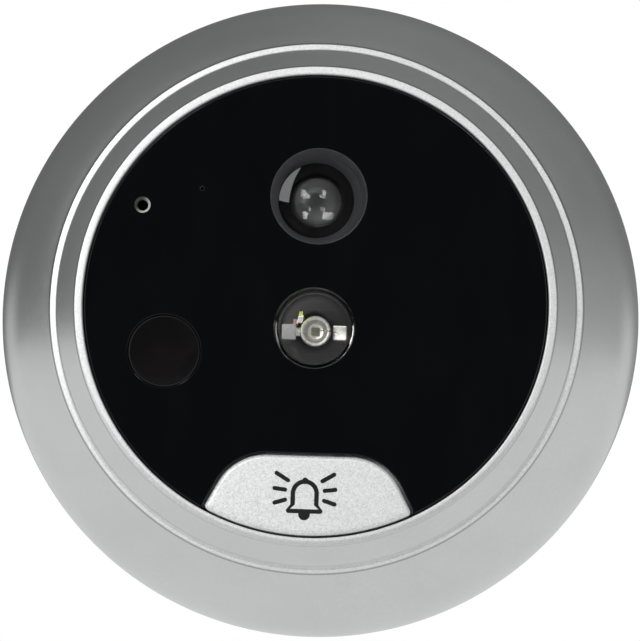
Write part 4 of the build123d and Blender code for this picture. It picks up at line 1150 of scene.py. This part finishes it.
# ---------------------------------------------------------------- other materials
def tin_leadframe():
    """Bright tin, with a painted yellow-green glint on the cup's upper left lip."""
    g, where = new_material("tin_leadframe")
    marks = g.noise(where, size_mm=0.15)
    x, _, z = g.split(where)
    radius = axis_radius(g, where, LAMP)
    # painted glint: yellow-green colour painted onto the cup's upper left lip
    upper_left = g.minus(g.minus(g.mm(z), LAMP[1]), g.mm(x))
    painted_glint = g.times(g.ramp(upper_left, span=(1.1, 1.75)), g.ramp(radius, span=(1.0, 1.15)))
    painted_glint = g.times(painted_glint, g.ramp(radius, span=(1.34, 1.42), to=(1.0, 0.0)))
    tin = g.mix(marks, rgba(0.82, 0.83, 0.82), rgba(0.92, 0.92, 0.90))
    g.set(
        Metallic=0.55,
        Base_Color=g.mix(g.times(painted_glint, 0.6), tin, rgba(0.80, 0.83, 0.22)),
        Roughness=g.ramp(marks, MIDDLE, to=(0.26, 0.42)),
        Normal=g.bump(marks, distance_mm=0.006, strength=0.7),
    )


def cell_foam():
    """Closed-cell foam with its cut cells showing, their hollows in painted shade."""
    g, where = new_material("cell_foam")
    large = g.cells(where, size_mm=0.38)["Distance"]
    small = g.cells(where, size_mm=0.16)["Distance"]
    depth = g.plus(
        g.ramp(large, span=(0.0, 0.5)), g.times(g.ramp(small, span=(0.0, 0.5)), 0.5)
    )
    g.set(
        # painted shade: the cells' hollows are coloured darker than their walls
        Base_Color=g.mix(
            g.ramp(depth, span=(0.3, 1.3)), rgba(0.018, 0.018, 0.018), rgba(0.085, 0.085, 0.087)
        ),
        Roughness=0.92,
        Sheen_Weight=0.15,
        Normal=g.bump(depth, distance_mm=0.09, strength=0.9),
    )


def ribbon_film():
    """Conductors under white film, with bare tinned pads at the +Y end."""
    g, where = new_material("ribbon_film")
    _, y, z = g.split(where)
    # the added whole number keeps the phase positive
    phase = g.math("FRACT", g.plus(g.times(z, 1 / (CONDUCTOR_PITCH * MM)), 100.0))
    trace = g.band(phase, rise=(0.18, 0.26), fall=(0.74, 0.82))
    inside_edge = g.ramp(g.math("ABSOLUTE", z), span=(3.7 * MM, 3.75 * MM), to=(1.0, 0.0))
    trace = g.times(trace, inside_edge)
    pads = g.ramp(y, span=(47.8 * MM, 48.0 * MM))
    cloud = g.noise(where, size_mm=4.0)
    film = g.mix(trace, rgba(0.80, 0.81, 0.82), rgba(0.52, 0.54, 0.57))
    film = g.mix(g.ramp(cloud, MIDDLE, to=(0.0, 0.12)), film, rgba(0.70, 0.70, 0.68))
    pad = g.mix(trace, rgba(0.75, 0.76, 0.76), rgba(0.86, 0.85, 0.82))
    g.set(
        Base_Color=g.mix(pads, film, pad),
        Metallic=g.times(pads, trace),
        Roughness=g.ramp(cloud, MIDDLE, to=(0.26, 0.38)),
        Normal=g.bump(trace, distance_mm=0.012, strength=0.6),
    )


def solder_mask():
    """Circuit boards: dark green mask over raised traces."""
    g, where = new_material("solder_mask")
    contour = g.noise(g.stretch(where, (1.0, 1.0, 6.0)), size_mm=3.0, detail=1.0)
    from_line = g.math("ABSOLUTE", g.minus(contour, 0.5))
    trace = g.ramp(from_line, span=(0.012, 0.02), to=(1.0, 0.0))
    weave = g.noise(where, size_mm=0.3, detail=2.0)
    mask = g.mix(weave, rgba(0.004, 0.010, 0.007), rgba(0.006, 0.014, 0.010))
    g.set(
        Base_Color=g.mix(trace, mask, rgba(0.012, 0.030, 0.020)),
        Roughness=0.28,
        Coat_Weight=0.3,
        Normal=g.bump(trace, distance_mm=0.02, strength=0.6),
    )


def sensor_die():
    """Image sensor: a dark die with faint colour."""
    g, where = new_material("sensor_die")
    tint = g.noise(where, size_mm=1.0, detail=2.0)
    g.set(
        Metallic=0.4,
        Base_Color=g.mix(tint, rgba(0.02, 0.03, 0.05), rgba(0.06, 0.04, 0.07)),
        Roughness=0.15,
    )


tin_leadframe()
cell_foam()
ribbon_film()
solder_mask()
sensor_die()

# ---------------------------------------------------------------- who wears what
# slots in order; the panel's follow GLOSS, CONE, PORT, PRINT, PIN
for ob, names in (
    (panel, ("panel_gloss", "turned_cone", "frosted_port_painted_light", "panel_back_print", "indicator_pipe")),
    (bezel, ("silver_shell",)),
    (bosses, ("silver_shell",)),
    (button, ("silver_push",)),
    (hood, ("turned_cone",)),
    (front_glass, ("coated_glass", "lens_edge_ink", "coated_glass_back")),
    (inner_glass, ("inner_glass_painted_grey_reflection",)),
    (lamp_dome, ("clear_resin",)),
    (sensor_window, ("smoked_dome",)),
    (leads, ("tin_leadframe",)),
    (lamp_chip, ("lamp_die",)),
    (bond_wire, ("bond_gold",)),
    (gasket, ("cell_foam",)),
    (cable, ("ribbon_film",)),
):
    for name in names:
        ob.data.materials.append(materials[name])

# material: the CAD nodes that wear it
CAD_MATERIALS = {
    "symbol_ink": "bell_symbol",
    "tape_film": "panel_tape",
    "moulded_black": "carrier rear_cover",
    "barrel_black": "led_sleeve lens_holder lens_barrel microphone microphone_boot",
    "moulded_epoxy": "cable_socket switch_body switch_plunger camera_connector main_chips"
    " chip_parts",
    "nickel_steel": "switch_cover switch_pins motion_sensor sensor_leads board_screws"
    " case_screws",
    "spring_steel": "switch_dome",
    "soft_rubber": "button_seal microphone_wires cover_seal cable_grommet",
    "coated_filter": "infrared_filter sensor_filter",
    "sensor_die": "image_sensor",
    "solder_mask": "camera_board main_board",
    "phosphor_gel": "status_light",
    "turned_brass": "mounting_posts post_nuts",
    "stiffener_film": "cable_stiffener",
}
worn = {node: material for material, nodes in CAD_MATERIALS.items() for node in nodes.split()}
for node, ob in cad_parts.items():
    if node not in worn:
        continue
    material = materials[worn[node]]
    if len(ob.material_slots) == 0:
        ob.data.materials.append(material)
    for slot in ob.material_slots:
        slot.material = material

# ---------------------------------------------------------------- floor
# direction in which the flat faces mirror the viewer; the studio is dark round it
MIRROR_AXIS = (-0.0462, -0.9916, 0.1212)


def near_mirror_axis(g, cosine):
    return g.ramp(cosine, span=(cos(radians(42)), cos(radians(20))))


AXIS_DARKENING = 0.86


def build_floor():
    """A pale disc level with the lowest point of the CAD."""
    count = 96
    bm = bmesh.new()
    centre = bm.verts.new((0, 0, cad_lo.z))
    rings = []
    for r in (0.2, 0.5, 1.0, 2.4):  # metres
        angles = [2 * pi * k / count for k in range(count)]
        rings.append([bm.verts.new((r * cos(a), r * sin(a), cad_lo.z)) for a in angles])
    for k in range(count):
        bm.faces.new((centre, rings[0][k], rings[0][(k + 1) % count]))
    for a, b in zip(rings, rings[1:]):
        for k in range(count):
            j = (k + 1) % count
            bm.faces.new((a[k], b[k], b[j], a[j]))
    mesh = bpy.data.meshes.new("floor")
    bm.to_mesh(mesh)
    bm.free()
    ob = bpy.data.objects.new("floor", mesh)
    bpy.context.scene.collection.objects.link(ob)
    return ob


def pale_floor():
    """Shaded near the object and plain white far off."""
    g, where = new_material("pale_floor")
    g.nodes.remove(g.main)
    distance = g.vmath("LENGTH", where)
    diffuse = g.node("ShaderNodeBsdfDiffuse")
    mottle = g.noise(where, size_mm=40.0)
    g.put(diffuse.inputs["Color"], g.mix(mottle, rgba(0.42, 0.42, 0.42), rgba(0.45, 0.45, 0.445)))
    near = g.node("ShaderNodeAddShader")
    g.put(near.inputs[0], diffuse.outputs[0])
    g.put(near.inputs[1], g.glow(0.70))
    viewed = g.mix_shaders(g.ramp(distance, span=(0.25, 1.1)), near.outputs[0], g.glow(1.0))

    # other rays meet an even glow, darker near the mirror axis
    geometry = g.node("ShaderNodeNewGeometry").outputs
    against_axis = tuple(-c for c in MIRROR_AXIS)
    toward = g.vmath("DOT_PRODUCT", geometry["Incoming"], against_axis)
    shade = g.less(near_mirror_axis(g, toward), by=AXIS_DARKENING)
    mirrored = g.glow(g.times(shade, 0.72))
    camera_ray = g.node("ShaderNodeLightPath").outputs["Is Camera Ray"]
    top = g.mix_shaders(camera_ray, mirrored, viewed)

    # seen from below it lets the low camera through
    clear = g.node("ShaderNodeBsdfTransparent").outputs[0]
    output = g.nodes["Material Output"]
    g.put(output.inputs["Surface"], g.mix_shaders(geometry["Backfacing"], top, clear))


floor = build_floor()
pale_floor()
floor.data.materials.append(materials["pale_floor"])


# ---------------------------------------------------------------- studio light
def build_world():
    """Bright below, dim overhead, with two rims behind; the camera itself sees plain white."""
    world = bpy.data.worlds.new("studio")
    bpy.context.scene.world = world
    world.use_nodes = True
    g = Graph(world.node_tree, main="Background")
    direction = g.vmath("NORMALIZE", g.coordinates("Generated"))
    x, y, z = g.split(direction)

    across = g.math("SQRT", g.plus(g.times(x, x), g.times(z, z)))
    tilt = g.math("DIVIDE", g.math("ABSOLUTE", z), g.largest(across, 0.001))
    level_side = g.ramp(tilt, span=(0.30, 0.08))
    # near 1 underneath and -1 overhead, turned slightly towards the right
    lean = g.plus(g.times(z, -1.0), g.times(x, 0.18))
    down = g.math("DIVIDE", lean, g.largest(across, 0.62))
    overhead = g.ramp(x, span=(-0.55, 0.25), to=(0.165, 0.225))
    total = g.ramp(down, span=(-0.42, 0.66), to=(overhead, 0.62))

    def rim(span, strength):
        return g.times(g.times(g.ramp(x, span), g.ramp(y, span=(0.30, 0.62))), strength)

    rims = g.plus(rim(span=(-0.45, -0.7), strength=0.42), rim(span=(0.45, 0.7), strength=0.34))
    total = g.plus(total, g.times(rims, level_side))
    behind = g.ramp(y, span=(0.35, 1.0))
    total = g.times(total, g.less(behind, by=0.22))

    # dark round the mirror axis, inside a ring that is brighter to the left
    facing = g.vmath("DOT_PRODUCT", direction, MIRROR_AXIS)
    ring = g.band(
        facing,
        rise=(cos(radians(52)), cos(radians(40))),
        fall=(cos(radians(27)), cos(radians(20))),
    )
    level = g.plus(0.50, g.plus(g.times(x, -0.7), g.times(z, 0.25)))
    level = g.largest(level, 0.12)
    total = g.times(total, g.less(near_mirror_axis(g, facing), by=AXIS_DARKENING))
    total = g.plus(total, g.times(ring, level))
    camera_ray = g.node("ShaderNodeLightPath").outputs["Is Camera Ray"]
    g.set(Strength=g.mix(camera_ray, total, 1.0, kind="FLOAT"), Color=(1.0, 1.0, 1.0, 1.0))


def softbox(name, off_axis, round_axis, distance, width, height, power, colour, lit):
    """An area light aimed at the origin that lights only the objects in lit."""
    off, turn = radians(off_axis), radians(round_axis)
    way = Vector((sin(off) * cos(turn), -cos(off), sin(off) * sin(turn)))
    light = bpy.data.lights.new(name, "AREA")
    light.shape = "RECTANGLE"
    light.size, light.size_y = width, height
    light.energy = power
    light.color = colour
    ob = bpy.data.objects.new(name, light)
    ob.location = way * distance
    ob.rotation_euler = way.to_track_quat("Z", "Y").to_euler()
    ob.visible_camera = False
    bpy.context.scene.collection.objects.link(ob)
    group = bpy.data.collections.new(name + "_lit")
    for target in lit:
        group.objects.link(target)
    ob.light_linking.receiver_collection = group
    return ob


build_world()
own_light = (front_glass, inner_glass, lamp_dome, sensor_window, leads, lamp_chip, hood, panel)
matte = [
    o
    for o in bpy.data.objects
    if o.type in ("MESH", "CURVE") and not o.hide_render and o not in own_light and o != floor
    and o.name not in ("microphone_boot", "microphone")
]
well = [hood, panel]
lenses = [front_glass, inner_glass]
lamp = [lamp_dome]
WHITE, LIME, PINK = (1.0, 1.0, 1.0), (0.85, 0.95, 0.12), (1.0, 0.62, 0.5)
# name, degrees off the front axis, degrees round it (0 right, 90 up),
# distance, width and height in metres, watts, colour, lit objects
SOFTBOXES = (
    ("key_left", 34, 148, 0.24, 0.10, 0.10, 0.27, WHITE, matte),
    ("key_right", 32, 42, 0.42, 0.12, 0.12, 0.16, WHITE, matte),
    ("well_left", 54, 128, 0.4, 0.10, 0.08, 0.24, WHITE, well),
    ("well_right", 54, 58, 0.4, 0.10, 0.08, 0.27, WHITE, well),
    ("glint_left", 36, 142, 0.4, 0.06, 0.09, 0.12, WHITE, lenses),
    ("glint_right", 27, 58, 0.4, 0.05, 0.07, 0.08, WHITE, lenses),
    ("glint_low_left", 30, 218, 0.08, 0.010, 0.024, 0.006, WHITE, lenses),
    ("glint_low_right", 29, 322, 0.08, 0.030, 0.022, 0.009, WHITE, lenses),
    ("lamp_glint", 29, 141, 0.4, 0.06, 0.075, 0.16, WHITE, lamp),
    ("lamp_fringe", 34, 131, 0.4, 0.04, 0.05, 0.07, LIME, lamp),
    ("lamp_fill", 24, 150, 0.3, 0.10, 0.10, 0.15, WHITE, [leads]),
    ("lamp_blush", 33, 154, 0.4, 0.05, 0.05, 0.05, PINK, lamp),
)
softboxes = {row[0]: softbox(*row) for row in SOFTBOXES}
# only the leads shadow the lamp's fill, so it shines through the resin
blockers = bpy.data.collections.new("lamp_fill_blockers")
blockers.objects.link(leads)
softboxes["lamp_fill"].light_linking.blocker_collection = blockers

# ---------------------------------------------------------------- camera
AZIMUTH, ELEVATION, ROLL = radians(2.670), radians(-6.963), radians(2.024)
VIEW_DISTANCE = 466.226
VIEW_TARGET = Vector((0.277, -8.0, -0.848))
FOCAL_LENGTH, SENSOR_WIDTH = 255.284312, 36.0


def build_camera():
    """Camera in front, slightly to the right and below, rolled a little."""
    data = bpy.data.cameras.new("camera")
    ob = bpy.data.objects.new("camera", data)
    bpy.context.scene.collection.objects.link(ob)
    way = Vector((
        sin(AZIMUTH) * cos(ELEVATION),
        -cos(AZIMUTH) * cos(ELEVATION),
        sin(ELEVATION),
    ))
    forward = -way
    level_right = forward.cross(Vector((0, 0, 1))).normalized()
    level_up = level_right.cross(forward)
    right = level_right * cos(ROLL) + level_up * sin(ROLL)
    up = -level_right * sin(ROLL) + level_up * cos(ROLL)
    rows = [
        (right[i], up[i], way[i], (VIEW_TARGET[i] + way[i] * VIEW_DISTANCE) * MM)
        for i in range(3)
    ]
    ob.matrix_world = Matrix((*rows, (0, 0, 0, 1)))
    data.sensor_width = SENSOR_WIDTH
    data.lens = FOCAL_LENGTH
    data.clip_start, data.clip_end = 0.01, 10.0  # metres
    return ob


scene = bpy.context.scene
scene.camera = build_camera()
scene.view_settings.view_transform = "Standard"
scene.view_settings.look = "None"
